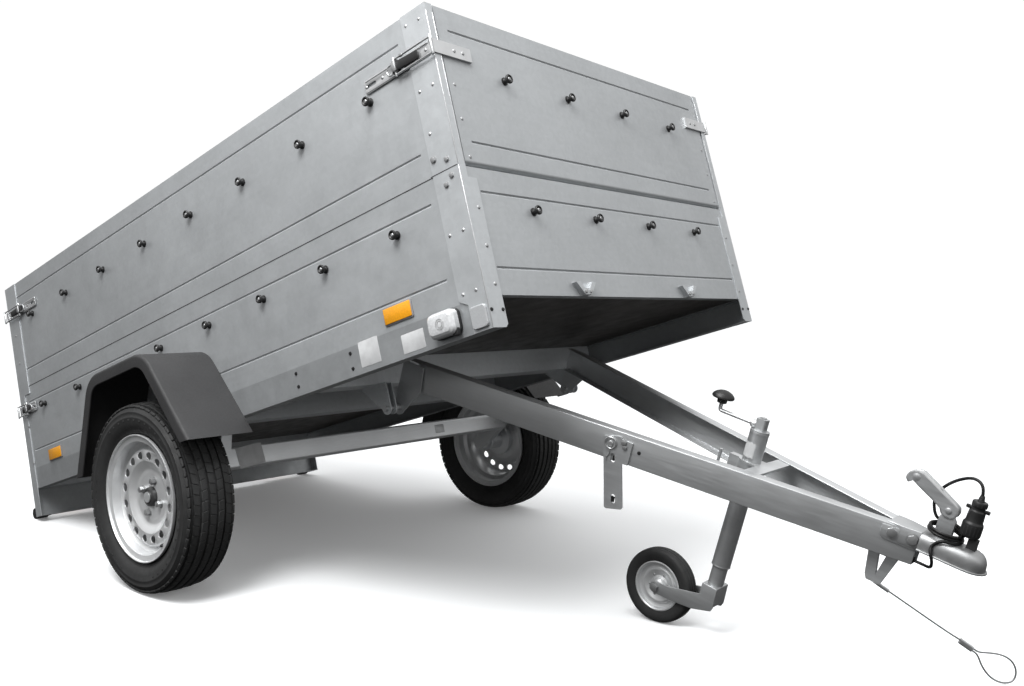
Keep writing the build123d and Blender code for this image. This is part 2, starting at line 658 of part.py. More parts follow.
def latch(x_end, facing, z_mid, length, flange):
    """Right over-centre latch: base strip, folded lever, pivot block and the bail's two rods.

    The strip laps the corner post's side flange and is packed out to the wall behind it.
    """
    def along(distance):
        return x_end - facing * (LATCH_SETBACK + distance)
    block, lever = 0.44 * length, 0.80 * length
    packer = flange - LATCH_SETBACK
    # Pieces of the latch: start and end along it, height, near and far depth off the post's skin
    table = ((packer, length, LATCH_HEIGHT, -SKIN, 0.0), (0.0, length, LATCH_HEIGHT, 0.0, LATCH_PLATE),
             (block, lever, LEVER_HEIGHT, 0.0, LEVER_DEPTH), (block, block + BLOCK_LENGTH, LATCH_HEIGHT, 0.0, BLOCK_DEPTH))
    rod_start, rod_y = block + BLOCK_LENGTH / 2, -(HALF + BAIL_STANDOFF)
    rod_run = rod_start + LATCH_SETBACK - BAIL_BAR_R - 0.5
    with BuildPart() as body:
        for start, end, height, near, far in table:
            with BuildSketch(side_plane(-(HALF + near))):
                with Locations(((along(start) + along(end)) / 2, z_mid)):
                    Rectangle(end - start, height)
            extrude(amount=far - near)
        for side in (-1, 1):
            with BuildSketch(Plane(origin=(along(rod_start), rod_y, z_mid + side * BAIL_SPREAD / 2),
                                   x_dir=(0, 1, 0), z_dir=(facing, 0, 0))):
                Circle(BAIL_R)
            extrude(amount=rod_run)
        # The pivot pin through the block and the bar across the bail's far end
        bar_rise = BAIL_SPREAD / 2 + BAIL_BAR_R + 1.0
        with BuildSketch(Plane.XY.offset(z_mid - bar_rise)):
            with Locations((along(rod_start), rod_y), (along(rod_start - rod_run), rod_y)):
                Circle(BAIL_BAR_R)
        extrude(amount=2 * bar_rise)
    return body.part


def side_latches():
    """The three latches on one side: front and rear extension walls, and the tailgate."""
    return group(latch(0, 1, LOWER_TOP + UPPER_LATCH, LATCH_LENGTH, POST_SIDE_FLANGE),
                 latch(-BED_LENGTH, -1, LOWER_TOP + UPPER_LATCH, LATCH_LENGTH, POST_SIDE_FLANGE),
                 latch(-BED_LENGTH, -1, LOWER_TOP + LOWER_LATCH, TAIL_LATCH_LENGTH, REAR_POST_FLANGE))


write(both_sides(side_latches()), "latches", BED)

CATCH_REACH = 125.0         # from the bed's side along the end wall
CATCH_HEIGHT = 34.0
CATCH_LIP = 9.0
CATCH_GAP = 0.5
CATCH_THICK = 3.0


def catch(x_end, facing, z_mid, reach):
    """Right catch strap on a hinged wall: it laps the corner post and turns back round the corner."""
    wall, lap, face = x_end - facing * SKIN, x_end + facing * CATCH_GAP, x_end + facing * (CATCH_GAP + CATCH_THICK)
    side = -(HALF + CATCH_GAP)
    with BuildPart() as strap:
        with BuildSketch(Plane.XY.offset(z_mid - CATCH_HEIGHT / 2)):
            with BuildLine():
                Polyline((wall, -HALF + reach), (face, -HALF + reach), (face, side - CATCH_THICK),
                         (x_end - facing * CATCH_LIP, side - CATCH_THICK), (x_end - facing * CATCH_LIP, side),
                         (lap, side), (lap, -HINGED_HALF), (wall, -HINGED_HALF), close=True)
            make_face()
        extrude(amount=CATCH_HEIGHT)
    return strap.part


# Catches: node, end of the bed, facing, height from the seam, reach
CATCHES = (("catches_extension_front", 0, 1, UPPER_LATCH, CATCH_REACH),
           ("catches_extension_rear", -BED_LENGTH, -1, UPPER_LATCH, CATCH_REACH),
           ("catches_tailgate", -BED_LENGTH, -1, LOWER_LATCH, CATCH_REACH / 2))
for label, x_end, facing, height, reach in CATCHES:
    write(both_sides(catch(x_end, facing, LOWER_TOP + height, reach)), label, BED)


MARKER_STATION = 131.0
MARKER_MIDDLE = 42.0
MARKER_LENGTH = 86.0
MARKER_HEIGHT = 62.0
PAD_STATION = 31.0
PAD_MIDDLE = 32.0
PAD_LENGTH = 48.0
PAD_HEIGHT = 52.0


def marker_lamp():
    """Right front marker lamp in its rubber boot, on the rail."""
    with BuildPart() as lamp:
        with BuildSketch(side_plane(-SKIN_FACE)):
            with Locations((-MARKER_STATION, MARKER_MIDDLE)):
                RectangleRounded(MARKER_LENGTH, MARKER_HEIGHT, 16.0)
        extrude(amount=34.0)
        fillet(lamp.faces().sort_by(Axis.Y)[0].edges(), 9.0)
    return lamp.part


def corner_pad():
    """Right frosted corner pad at the foot of the front post."""
    with BuildPart() as pad:
        with BuildSketch(side_plane(-HALF)):
            with Locations((-PAD_STATION, PAD_MIDDLE)):
                RectangleRounded(PAD_LENGTH, PAD_HEIGHT, 10.0)
        extrude(amount=6.0)
        fillet(pad.faces().sort_by(Axis.Y)[0].edges(), 3.0)
    return pad.part


REFLECTOR_LENGTH = 100.0
REFLECTOR_HEIGHT = 45.0
REFLECTOR_SETBACK = 280.0   # front reflector's middle behind the front wall
REFLECTOR_REAR = 220.0      # rear reflector's middle ahead of the bed's rear end
REFLECTORS = ((-REFLECTOR_SETBACK, 111.0), (-BED_LENGTH + REFLECTOR_REAR, 101.0))


def side_reflectors():
    """The two amber reflectors of the right side."""
    with BuildPart() as pair:
        with BuildSketch(side_plane(-SKIN_FACE)):
            with Locations(*REFLECTORS):
                RectangleRounded(REFLECTOR_LENGTH, REFLECTOR_HEIGHT, 4.0)
        extrude(amount=6.0)
    return pair.part


write(both_sides(marker_lamp()), "marker_lamps", BED)
write(both_sides(corner_pad()), "corner_pads", BED)
write(both_sides(side_reflectors()), "reflectors", BED)


EAR_STATION = 262.0          # each ear's middle from the middle plane
EAR_HALF = 42.0
EAR_SHOULDER = 26.0
EAR_NECK = 12.0
EAR_TIP = 14.0
EAR_TOP = 110.0
EAR_END = 108.0
EAR_SADDLE = 92.0
EAR_FOOT = 76.0
EAR_DEPTH = 14.0


def lock_ears():
    """The folded ears under the front wall that the lock straps take hold of."""
    def ear(y):
        with BuildPart() as folded:
            with BuildSketch(Plane(origin=(FRONT_X, y, 0), x_dir=(0, 1, 0), z_dir=(1, 0, 0))):
                with BuildLine():
                    Polyline((-EAR_HALF, EAR_END), (-EAR_SHOULDER, EAR_TOP), (-EAR_NECK, EAR_SADDLE),
                             (EAR_NECK, EAR_SADDLE), (EAR_SHOULDER, EAR_TOP), (EAR_HALF, EAR_END),
                             (EAR_TIP, EAR_FOOT), (-EAR_TIP, EAR_FOOT), close=True)
                make_face()
            extrude(amount=EAR_DEPTH)
        return folded.part
    return group(ear(-EAR_STATION), ear(EAR_STATION))


write(lock_ears(), "lock_ears", BED)

# ---------------------------------------------------------------- drawbar hinge
BRACKET_Y = 412.0
BRACKET_SPAN = 24.0


BRACKET_BACK = 90.0         # gusset's foot behind the pin
BRACKET_FRONT = 15.0
BRACKET_OPEN = 40.0
BRACKET_EAR_R = 17.0


def hinge_bracket():
    """Right hinge bracket: two gusset plates under the front cross member, joined at the back."""
    x_pin, z_pin, ear_r = -HINGE_SETBACK, -HINGE_DROP, BRACKET_EAR_R
    with BuildPart() as bracket:
        with BuildSketch(side_plane(-BRACKET_Y)):
            with BuildLine():
                Polyline((x_pin + BRACKET_FRONT, 0), (x_pin + ear_r, z_pin), (x_pin - ear_r, z_pin),
                         (x_pin - BRACKET_BACK, 0), close=True)
            make_face()
            with Locations((x_pin, z_pin)):
                Circle(ear_r)
        extrude(amount=BRACKET_SPAN)
        with BuildSketch(side_plane(-BRACKET_Y - PLATE)):
            with BuildLine():
                Polyline((x_pin + BRACKET_OPEN, -PLATE), (x_pin + BRACKET_OPEN, z_pin - BRACKET_OPEN),
                         (x_pin - ear_r + PLATE, z_pin - BRACKET_OPEN), (x_pin - ear_r + PLATE, z_pin),
                         (x_pin - BRACKET_BACK + 2 * PLATE, -PLATE), close=True)
            make_face()
        extrude(amount=BRACKET_SPAN - 2 * PLATE, mode=Mode.SUBTRACT)
        with BuildSketch(side_plane(-BRACKET_Y)):
            with Locations((x_pin, z_pin)):
                Circle(HINGE_PIN_R)
        extrude(amount=BRACKET_SPAN, mode=Mode.SUBTRACT)
    return bracket.part


def hinge_pin():
    """Right hinge pin through the bracket, with the drawbar's plate on its inner end."""
    with BuildPart() as pin:
        with BuildSketch(side_plane(-(PIVOT_PLATE_Y - 8.0))):
            with Locations((-HINGE_SETBACK, -HINGE_DROP)):
                Circle(HINGE_PIN_R)
        extrude(amount=BRACKET_Y + BRACKET_SPAN + 8.0 - (PIVOT_PLATE_Y - 8.0))
    return pin.part


write(both_sides(hinge_bracket()), "hinge_brackets", BED)
write(group(both_sides(hinge_pin()), *WALL_PINS), "hinge_pins", BED)

# ---------------------------------------------------------------- drawbar
MIDDLE_GAP = 1.0             # each beam stops this far from the middle plane
CUT_DEPTH = 100.0            # depth of the cuts that trim the beams
BEAM_SLOPE = (BEAM_REAR_HALF - BEAM_FRONT_HALF) / BEAM_LENGTH
BEAM_FOOT = BEAM_TOP - BEAM_HEIGHT


def beam_half(u):
    """Distance of a beam's outer face from the middle plane at a station along the drawbar."""
    return BEAM_REAR_HALF - BEAM_SLOPE * u


def beam_plan(u_rear, u_front, out, inn):
    """Plan outline of a strip along the right beam, `out` to `inn` inside its outer face."""
    return [(u_rear, -(beam_half(u_rear) - out)), (u_front, -(beam_half(u_front) - out)),
            (u_front, -(beam_half(u_front) - inn)), (u_rear, -(beam_half(u_rear) - inn))]


def beam():
    """Right drawbar beam: a channel that opens inwards, mitred on the pivot plate and at the middle."""
    with BuildPart() as channel:
        with BuildSketch(Plane.XY.offset(BEAM_FOOT)):
            with BuildLine():
                Polyline(*beam_plan(-10.0, BEAM_LENGTH, 0, BEAM_FLANGE), close=True)
            make_face()
        extrude(amount=BEAM_HEIGHT)
        with BuildSketch(Plane.XY.offset(BEAM_FOOT + BEAM_GAUGE)):
            with BuildLine():
                Polyline(*beam_plan(-20.0, BEAM_LENGTH + 10.0, BEAM_GAUGE, BEAM_FLANGE + 10.0), close=True)
            make_face()
        extrude(amount=BEAM_HEIGHT - 2 * BEAM_GAUGE, mode=Mode.SUBTRACT)
        # Nothing reaches outside the pivot plate's inner face, or over the middle plane.
        with BuildSketch(Plane.XY.offset(BEAM_FOOT - 1.0)):
            with Locations((0, -PIVOT_PLATE_Y - CUT_DEPTH / 2)):
                Rectangle(4 * CUT_DEPTH, CUT_DEPTH)
            with Locations((BEAM_LENGTH, CUT_DEPTH / 2 - MIDDLE_GAP)):
                Rectangle(BEAM_LENGTH, CUT_DEPTH)
        extrude(amount=BEAM_HEIGHT + 2.0, mode=Mode.SUBTRACT)
    return channel.part


PIVOT_TIP_R = 20.0
PIVOT_BACK = 16.0            # plate's upper corners behind and ahead of the pin
PIVOT_REACH = 60.0
PIVOT_FOOT_REACH = 66.0
PIVOT_DROP = 8.0             # plate's upper corners below the beam's top
PIVOT_FRONT_DROP = 6.0


def pivot_plate():
    """Right pivot plate: welded on the beam's rear end and drawn down to the hinge pin."""
    tip_r = PIVOT_TIP_R
    with BuildPart() as plate:
        with BuildSketch(side_plane(-PIVOT_PLATE_Y)):
            with BuildLine():
                Polyline((-PIVOT_BACK, BEAM_TOP - PIVOT_DROP), (PIVOT_REACH, BEAM_TOP - PIVOT_FRONT_DROP),
                         (PIVOT_FOOT_REACH, BEAM_FOOT - 2.0), (tip_r, -4.0), (-tip_r, -4.0), close=True)
            make_face()
            Circle(tip_r)
        extrude(amount=PLATE)
        with BuildSketch(side_plane(-PIVOT_PLATE_Y)):
            Circle(HINGE_PIN_R + PIN_CLEARANCE)
        extrude(amount=PLATE, mode=Mode.SUBTRACT)
    return plate.part


write_pair(beam(), "drawbar_beam", BAR)
write(both_sides(pivot_plate()), "pivot_plates", BAR)

COUPLING_REAR = BEAM_LENGTH - COUPLING_GRIP
COUPLING_SHEET = 4.0
COUPLING_FOOT = BEAM_FOOT + 40.0
BALL_SETBACK = 42.0          # ball behind the coupling's nose
BALL_STATION = NOSE_REACH - BALL_SETBACK
SOCKET_R = 25.0
SOCKET_DEPTH = 36.0
NECK_TOP = BEAM_TOP + COUPLING_SHEET
NECK_R = 32.0               # half width of the neck where it meets the cup
CUP_R = 37.0
CUP_TOP = 5.0               # the cup's top above the beams
CUP_CROWN_R = 16.0          # flat crown of the cup
LIP = 5.0
HANDLE_STATION = BALL_STATION - 67.0
HANDLE_RISE = 65.5          # lever pin above the neck
HANDLE_WIDTH = 24.0


def coupling():
    """Pressed ball coupling: a saddle over the beams' front ends, a neck and a cup over the ball."""
    foot, crown = COUPLING_FOOT, BEAM_TOP + CUP_TOP
    # Turned profile of the cup: radius, height
    profile = ((0, foot), (CUP_R + LIP, foot), (CUP_R + LIP, foot + LIP), (CUP_R, foot + LIP + 2.0),
               (CUP_R, crown - 22.0), (CUP_R - 7.0, crown - 9.0), (CUP_CROWN_R, crown), (0, crown))
    with BuildPart() as head:
        # Side form of the saddle and the neck
        with BuildSketch(side_plane(CUP_R)):
            with BuildLine():
                Polyline((COUPLING_REAR, foot + 3.0), (COUPLING_REAR, NECK_TOP), (BALL_STATION, NECK_TOP),
                         (BALL_STATION, foot), (COUPLING_REAR + 4.0, foot), close=True)
            make_face()
        extrude(amount=2 * CUP_R)
        # Plan form: the saddle follows the beams' taper
        with BuildSketch(Plane.XY.offset(foot - 1.0)):
            with BuildLine():
                wide = beam_half(COUPLING_REAR) + COUPLING_SHEET
                neck = beam_half(BEAM_LENGTH) + COUPLING_SHEET
                Polyline((COUPLING_REAR, -wide), (BEAM_LENGTH, -neck), (BALL_STATION, -NECK_R),
                         (BALL_STATION, NECK_R), (BEAM_LENGTH, neck), (COUPLING_REAR, wide), close=True)
            make_face()
        extrude(amount=BEAM_HEIGHT, mode=Mode.INTERSECT)
        with BuildSketch(Plane.XZ):
            with BuildLine():
                Polyline(*[(BALL_STATION + r, h) for r, h in profile], close=True)
            make_face()
        revolve(axis=Axis(origin=(BALL_STATION, 0, 0), direction=(0, 0, 1)))
        # The beams' ends fill the saddle
        with BuildSketch(Plane.XY.offset(foot - 2.0)):
            with BuildLine():
                rear = COUPLING_REAR - 1.0
                Polyline((rear, -beam_half(rear)), (BEAM_LENGTH, -beam_half(BEAM_LENGTH)),
                         (BEAM_LENGTH, beam_half(BEAM_LENGTH)), (rear, beam_half(rear)), close=True)
            make_face()
        extrude(amount=BEAM_TOP - foot + 2.0, mode=Mode.SUBTRACT)
        with BuildSketch(Plane.XY.offset(foot)):
            with Locations((BALL_STATION, 0)):
                Circle(SOCKET_R)
        extrude(amount=SOCKET_DEPTH, mode=Mode.SUBTRACT)
    return head.part


def coupling_handle():
    """Lock lever on the coupling: a pivot block and a cranked grip drawn up and back."""
    u, w = HANDLE_STATION, NECK_TOP + HANDLE_RISE
    with BuildPart() as lever:
        with BuildSketch(side_plane(HANDLE_WIDTH / 2)):
            with BuildLine():
                Polyline((u - 16.0, NECK_TOP), (u - 16.0, w - 10.0), (u - 36.0, w + 9.0), (u - 84.0, w + 31.0),
                         (u - 96.0, w + 25.0), (u - 106.0, w + 35.0), (u - 103.0, w + 52.0), (u - 91.0, w + 61.0),
                         (u - 73.0, w + 59.0), (u + 7.0, w + 18.0), (u + 24.0, w + 4.0), (u + 21.0, w - 29.0),
                         (u + 21.0, NECK_TOP), close=True)
            make_face()
        extrude(amount=HANDLE_WIDTH)
    return lever.part


write(coupling(), "coupling", BAR)
write(coupling_handle(), "coupling_handle", BAR)

# ---------------------------------------------------------------- jockey wheel
PLATE_REAR = JOCKEY_STATION + 27.0
PLATE_FRONT = JOCKEY_STATION + 63.0
PLATE_LAP = 24.0            # how far the cross plate lies under each beam's flange
PLATE_GAUGE = 6.0
CLAMP_WALL = 7.0
CLAMP_DEPTH = 52.0
CLAMP_LUG = (32.0, 22.0)    # along and across the drawbar
LEVER_R = 4.0
LEVER_REACH = 86.0
LEVER_DROP = 42.0           # lever's axis below the beams' tops
LEVER_RISE = 37.0


def jockey_bracket():
    """Cross plate under the beams' flanges, and the clamp that holds the jockey tube, with its lever."""
    plate_top = BEAM_TOP - BEAM_GAUGE
    rear_half, front_half = (beam_half(u) - BEAM_FLANGE + PLATE_LAP for u in (PLATE_REAR, PLATE_FRONT))
    knee, lever_w = JOCKEY_STATION - LEVER_REACH, BEAM_TOP - LEVER_DROP
    with BuildPart() as bracket:
        with BuildSketch(Plane.XY.offset(plate_top - PLATE_GAUGE)):
            with BuildLine():
                Polyline((PLATE_REAR, -rear_half), (PLATE_FRONT, -front_half), (PLATE_FRONT, front_half),
                         (PLATE_REAR, rear_half), close=True)
            make_face()
            with Locations((JOCKEY_STATION + CLAMP_LUG[0] / 2, 0)):
                Rectangle(CLAMP_LUG[0], 2 * (JOCKEY_TUBE_R + CLAMP_WALL))
        extrude(amount=PLATE_GAUGE)
        with BuildSketch(Plane.XY.offset(plate_top - CLAMP_DEPTH)):
            with Locations((JOCKEY_STATION, 0)):
                Circle(JOCKEY_TUBE_R + CLAMP_WALL)
            with Locations((JOCKEY_STATION - JOCKEY_TUBE_R - CLAMP_LUG[0] / 2, 0)):
                Rectangle(*CLAMP_LUG)
        extrude(amount=CLAMP_DEPTH)
        # Lever: a rod out of the clamp, turned up at its end
        with BuildSketch(Plane.YZ.offset(knee)):
            with Locations((0, lever_w)):
                Circle(LEVER_R)
        extrude(amount=LEVER_REACH - JOCKEY_TUBE_R - CLAMP_WALL)
        with BuildSketch(Plane.XY.offset(lever_w)):
            with Locations((knee, 0)):
                Circle(LEVER_R)
        extrude(amount=LEVER_RISE)
        with Locations((knee, 0, lever_w)):
            Sphere(LEVER_R)
        with BuildSketch(Plane.XY.offset(plate_top - CLAMP_DEPTH)):
            with Locations((JOCKEY_STATION, 0)):
                Circle(JOCKEY_TUBE_R)
        extrude(amount=CLAMP_DEPTH, mode=Mode.SUBTRACT)
    return bracket.part


TUBE_CAP = 3.0
HEAD_HEIGHT = 30.0
HEAD_SIDE = 26.0


def jockey_tube():
    """Outer tube of the jockey stand, closed by its cap and the crank's head block."""
    with BuildPart() as tube:
        with BuildSketch(Plane.XY.offset(JOCKEY_TUBE_FOOT)):
            with Locations((JOCKEY_STATION, 0)):
                Circle(JOCKEY_TUBE_R)
                Circle(JOCKEY_INNER_R + FACE_CLEARANCE, mode=Mode.SUBTRACT)
        extrude(amount=JOCKEY_TUBE_TOP - JOCKEY_TUBE_FOOT)
        with BuildSketch(Plane.XY.offset(JOCKEY_TUBE_TOP)):
            with Locations((JOCKEY_STATION, 0)):
                Circle(JOCKEY_TUBE_R)
        extrude(amount=TUBE_CAP)
        with BuildSketch(Plane.XY.offset(JOCKEY_TUBE_TOP + TUBE_CAP)):
            with Locations((JOCKEY_STATION, 0)):
                RectangleRounded(HEAD_SIDE, HEAD_SIDE, 4.0)
        extrude(amount=HEAD_HEIGHT)
    return tube.part


CRANK_R = 5.0
CRANK_REACH = 119.0
CRANK_FOOT = 11.0           # crank's axis above the foot of the head block
CRANK_RISE = 19.0
KNOB_R = 29.0


def jockey_crank():
    """Crank rod out of the head block, bent up into its mushroom knob."""
    arm_w = JOCKEY_TUBE_TOP + TUBE_CAP + CRANK_FOOT
    root, knee = JOCKEY_STATION - HEAD_SIDE / 2, JOCKEY_STATION - CRANK_REACH
    knob_foot = arm_w + CRANK_RISE
    # Turned profile of the knob: radius, height
    profile = ((0, 0), (12.0, 0), (13.0, 9.0), (KNOB_R, 14.0), (0.97 * KNOB_R, 19.0), (0.8 * KNOB_R, 27.0),
               (0.45 * KNOB_R, 32.0), (0, 34.0))
    with BuildPart() as crank:
        with BuildSketch(Plane(origin=(root, 0, arm_w), x_dir=(0, 1, 0), z_dir=(-1, 0, 0))):
            Circle(CRANK_R)
        extrude(amount=root - knee)
        with BuildSketch(Plane.XY.offset(arm_w)):
            with Locations((knee, 0)):
                Circle(CRANK_R)
        extrude(amount=CRANK_RISE)
        with Locations((knee, 0, arm_w)):
            Sphere(CRANK_R)
        with BuildSketch(Plane(origin=(knee, 0, knob_foot), x_dir=(1, 0, 0), z_dir=(0, -1, 0))):
            with BuildLine():
                Polyline(*profile, close=True)
            make_face()
        revolve(axis=Axis(origin=(knee, 0, 0), direction=(0, 0, 1)))
    return crank.part


FORK_PLATE = 4.0
FORK_INNER = JOCKEY_WHEEL_WIDTH / 2 + 5.0
FORK_TOP = JOCKEY_AXLE_W + 77.0
FORK_CROWN = 6.0
FORK_EYE_R = 16.0
AXLE_STAND = 6.0            # the axle bolt's ends outside the fork
LEG_RUN = 330.0


def jockey_leg():
    """Inner tube of the jockey stand, run out far enough for the wheel to stand on the floor."""
    with BuildPart() as leg:
        with BuildSketch(Plane.XY.offset(FORK_TOP)):
            with Locations((JOCKEY_STATION, 0)):
                Circle(JOCKEY_INNER_R)
        extrude(amount=LEG_RUN)
    return leg.part


def jockey_fork():
    """Fork under the leg: a channel whose two sides trail back to the wheel's axle."""
    top = FORK_TOP - FACE_CLEARANCE
    back, front = JOCKEY_STATION - 22.0, JOCKEY_STATION + 21.0
    knee = JOCKEY_AXLE_W + 24.0
    with BuildPart() as fork:
        for y in (-FORK_INNER, FORK_INNER + FORK_PLATE):
            with BuildSketch(side_plane(y)):
                with BuildLine():
                    Polyline((front, top), (front + 2.0, knee), (front - 2.0, knee - 10.0), (JOCKEY_STATION - 32.0, JOCKEY_AXLE_W - 4.0),
                             (JOCKEY_AXLE_U + 60.0, JOCKEY_AXLE_W - 12.0), (JOCKEY_AXLE_U, JOCKEY_AXLE_W - FORK_EYE_R),
                             (JOCKEY_AXLE_U, JOCKEY_AXLE_W + FORK_EYE_R), (JOCKEY_AXLE_U + 30.0, JOCKEY_AXLE_W + 18.0),
                             (back, JOCKEY_AXLE_W + 44.0), (back, top), close=True)
                make_face()
                with Locations((JOCKEY_AXLE_U, JOCKEY_AXLE_W)):
                    Circle(FORK_EYE_R)
            extrude(amount=FORK_PLATE)
        with BuildSketch(Plane.XY.offset(top - FORK_CROWN)):
            with Locations(((front + back) / 2, 0)):
                Rectangle(front - back, 2 * FORK_INNER)
        extrude(amount=FORK_CROWN)
        with BuildSketch(Plane.YZ.offset(front - FORK_PLATE)):
            with Locations((0, (top + knee) / 2)):
                Rectangle(2 * FORK_INNER, top - knee)
        extrude(amount=FORK_PLATE)
        with BuildSketch(side_plane(FORK_INNER + FORK_PLATE + AXLE_STAND)):
            with Locations((JOCKEY_AXLE_U, JOCKEY_AXLE_W)):
                Circle(JOCKEY_AXLE_R)
        extrude(amount=2 * (FORK_INNER + FORK_PLATE + AXLE_STAND))
    return fork.part


def jockey_wheel():
    """Jockey wheel: a solid tyre on a pressed disc with its hub on the fork's axle."""
    half = JOCKEY_WHEEL_WIDTH / 2
    with BuildPart() as wheel:
        with BuildSketch(Plane(origin=(JOCKEY_AXLE_U, 0, JOCKEY_AXLE_W), x_dir=(0, -1, 0), z_dir=(1, 0, 0))):
            with BuildLine():
                bore = JOCKEY_AXLE_R + PIN_CLEARANCE
                Polyline((-half, bore), (half, bore), (half, 17.0), (6.0, 20.0), (6.0, 46.0), (half - 4.0, 54.0),
                         (half - 3.0, 60.0), (half, 66.0), (half, 84.0), (half - 7.0, JOCKEY_WHEEL_R - 4.0),
                         (7.0, JOCKEY_WHEEL_R), (-7.0, JOCKEY_WHEEL_R), (-half + 7.0, JOCKEY_WHEEL_R - 4.0),
                         (-half, 84.0), (-half, 66.0), (-half + 3.0, 60.0), (-half + 4.0, 54.0), (-6.0, 46.0),
                         (-6.0, 20.0), (-half, 17.0), close=True)
            make_face()
        revolve(axis=Axis(origin=(JOCKEY_AXLE_U, 0, JOCKEY_AXLE_W), direction=(0, 1, 0)))
    return wheel.part


write(jockey_bracket(), "jockey_bracket", BAR)
write(jockey_tube(), "jockey_tube", BAR)
write(jockey_crank(), "jockey_crank", BAR)
write(jockey_leg(), "jockey_leg", BAR)
write(jockey_fork(), "jockey_fork", BAR)
write(jockey_wheel(), "jockey_wheel", BAR)


STRAP_STATION = 590.0
STRAP_BOLT_DROP = 31.0      # strap's bolt below the beam's top
STRAP_WIDTH = 48.0
STRAP_HEAD = 16.0           # strap above its bolt
STRAP_TAIL = 171.0          # strap below its bolt
STRAP_THICK = 5.0
STRAP_LUG = (33.0, 59.0)    # width and height of the lug beside the strap
STRAP_SLOTS = (40.0, 145.0)     # slots below the bolt
SLOT = (24.0, 11.0)


def lock_strap():
    """Lock strap on the right beam's outer face, hanging plumb, with the folded lug that carries it."""
    face = beam_half(STRAP_STATION)
    slope = sqrt(1 + BEAM_SLOPE * BEAM_SLOPE)
    beam_face = Plane(origin=(STRAP_STATION, -face, BEAM_TOP - STRAP_BOLT_DROP),
                      x_dir=(1 / slope, BEAM_SLOPE / slope, 0), z_dir=(BEAM_SLOPE / slope, -1 / slope, 0))
    plumb = -BAR_PITCH
    down = (sin(radians(plumb)), -cos(radians(plumb)))
    middle = (STRAP_TAIL - STRAP_HEAD) / 2
    with BuildPart() as strap:
        with BuildSketch(beam_face):
            with Locations(Location((middle * down[0], middle * down[1], 0), (0, 0, plumb))):
                RectangleRounded(STRAP_WIDTH, STRAP_HEAD + STRAP_TAIL, 6.0)
            with Locations(*[Location((drop * down[0], drop * down[1], 0), (0, 0, plumb + 90.0)) for drop in STRAP_SLOTS]):
                SlotOverall(*SLOT, mode=Mode.SUBTRACT)
        extrude(amount=STRAP_THICK)
        with BuildSketch(beam_face):
            with Locations((STRAP_WIDTH / 2 - 6.0 + STRAP_LUG[0] / 2, -16.0)):
                Rectangle(*STRAP_LUG)
        extrude(amount=STRAP_THICK)
    return strap.part


write(lock_strap(), "lock_strap", BAR)

HOOK_STATION = BEAM_LENGTH - 68.0
HOOK_DROP = 16.0            # the loop's lowest point below the hinge pin's level
HOOK_GAUGE = 6.0
HOOK_WIDTH = 12.0
HOOK_FLANGE = 44.0


def cable_bracket():
    """Plate loop under the beams that the safety cable hangs from, with its flange."""
    u, foot, low = HOOK_STATION, BEAM_FOOT - HOOK_GAUGE, -HOOK_DROP
    with BuildPart() as bracket:
        with BuildSketch(side_plane(HOOK_WIDTH / 2)):
            with BuildLine():
                Polyline((u - 33.0, foot), (u - 9.0, foot), (u - 1.0, low + 18.0), (u + 10.0, foot), (u + 36.0, foot),
                         (u + 14.0, low), (u - 18.0, low), (u - 24.0, low + 12.0), close=True)
            make_face()
        extrude(amount=HOOK_WIDTH)
        with BuildSketch(Plane.XY.offset(foot)):
            with Locations((u + 1.5, 0)):
                Rectangle(69.0, HOOK_FLANGE)
        extrude(amount=HOOK_GAUGE)
    return bracket.part


write(cable_bracket(), "cable_bracket", BAR)

# ---------------------------------------------------------------- electric cable
CABLE_R = 3.5
GROMMET = (14.0, 15.0, 12.0)    # along, across and up
GROMMET_Y = -11.0
COIL_STATION = HANDLE_STATION + 7.0
COIL_INNER_R = 28.0
COIL_OUTER_R = 42.0
COIL_FOOT = NECK_TOP + 0.4
COIL_TOP = COIL_FOOT + 24.0
PLUG_STATION = BALL_STATION - 15.0
PLUG_FOOT = COIL_TOP + 0.6
PLUG_HEIGHT = 84.0
STAND = (20.0, 16.0)            # the plug's stand, along and across


def bend_radii(points):
    """A cord's arc radii: as large as its two runs allow at each corner."""
    radii = []
    for before, here, after in zip(points, points[1:], points[2:]):
        run_in, run_out = Vector(*here) - Vector(*before), Vector(*after) - Vector(*here)
        turn = radians(run_in.get_angle(run_out))
        radii.append(0.45 * min(run_in.length, run_out.length) / tan(turn / 2))
    return radii


def cord_tube(name, points, radius):
    """A cord's tube: straight runs joined by tangent arcs."""
    radii = bend_radii(points)
    with BuildPart() as tube:
        with BuildLine() as route:
            FilletPolyline(*points, radius=radii)
        with BuildSketch(Plane(origin=points[0], z_dir=Vector(*points[1]) - Vector(*points[0]))):
            Circle(radius)
        sweep()
    length = sum(edge.length for edge in route.edges())
    print(name, "radii", [round(r, 1) for r in radii], "length", round(length, 1),
          "volume ratio", round(tube.part.volume / (length * 3.14159265 * radius * radius), 4))
    return tube.part


def cable_grommet():
    """Rubber grommet in the right beam's front end, where the cable leaves it."""
    length, across, up = GROMMET
    with BuildPart() as grommet:
        with BuildSketch(Plane.YZ.offset(BEAM_LENGTH - length)):
            with Locations((GROMMET_Y, BEAM_FOOT + BEAM_GAUGE + up / 2)):
                Rectangle(across, up)
        extrude(amount=length)
    return grommet.part


def plug_stand():
    """Stand on the coupling's crown that carries the plug."""
    crown = BEAM_TOP + CUP_TOP
    with BuildPart() as stand:
        with BuildSketch(Plane.XY.offset(crown)):
            with Locations((BALL_STATION - 3.0, 0)):
                Rectangle(*STAND)
        extrude(amount=PLUG_FOOT - crown)
    return stand.part


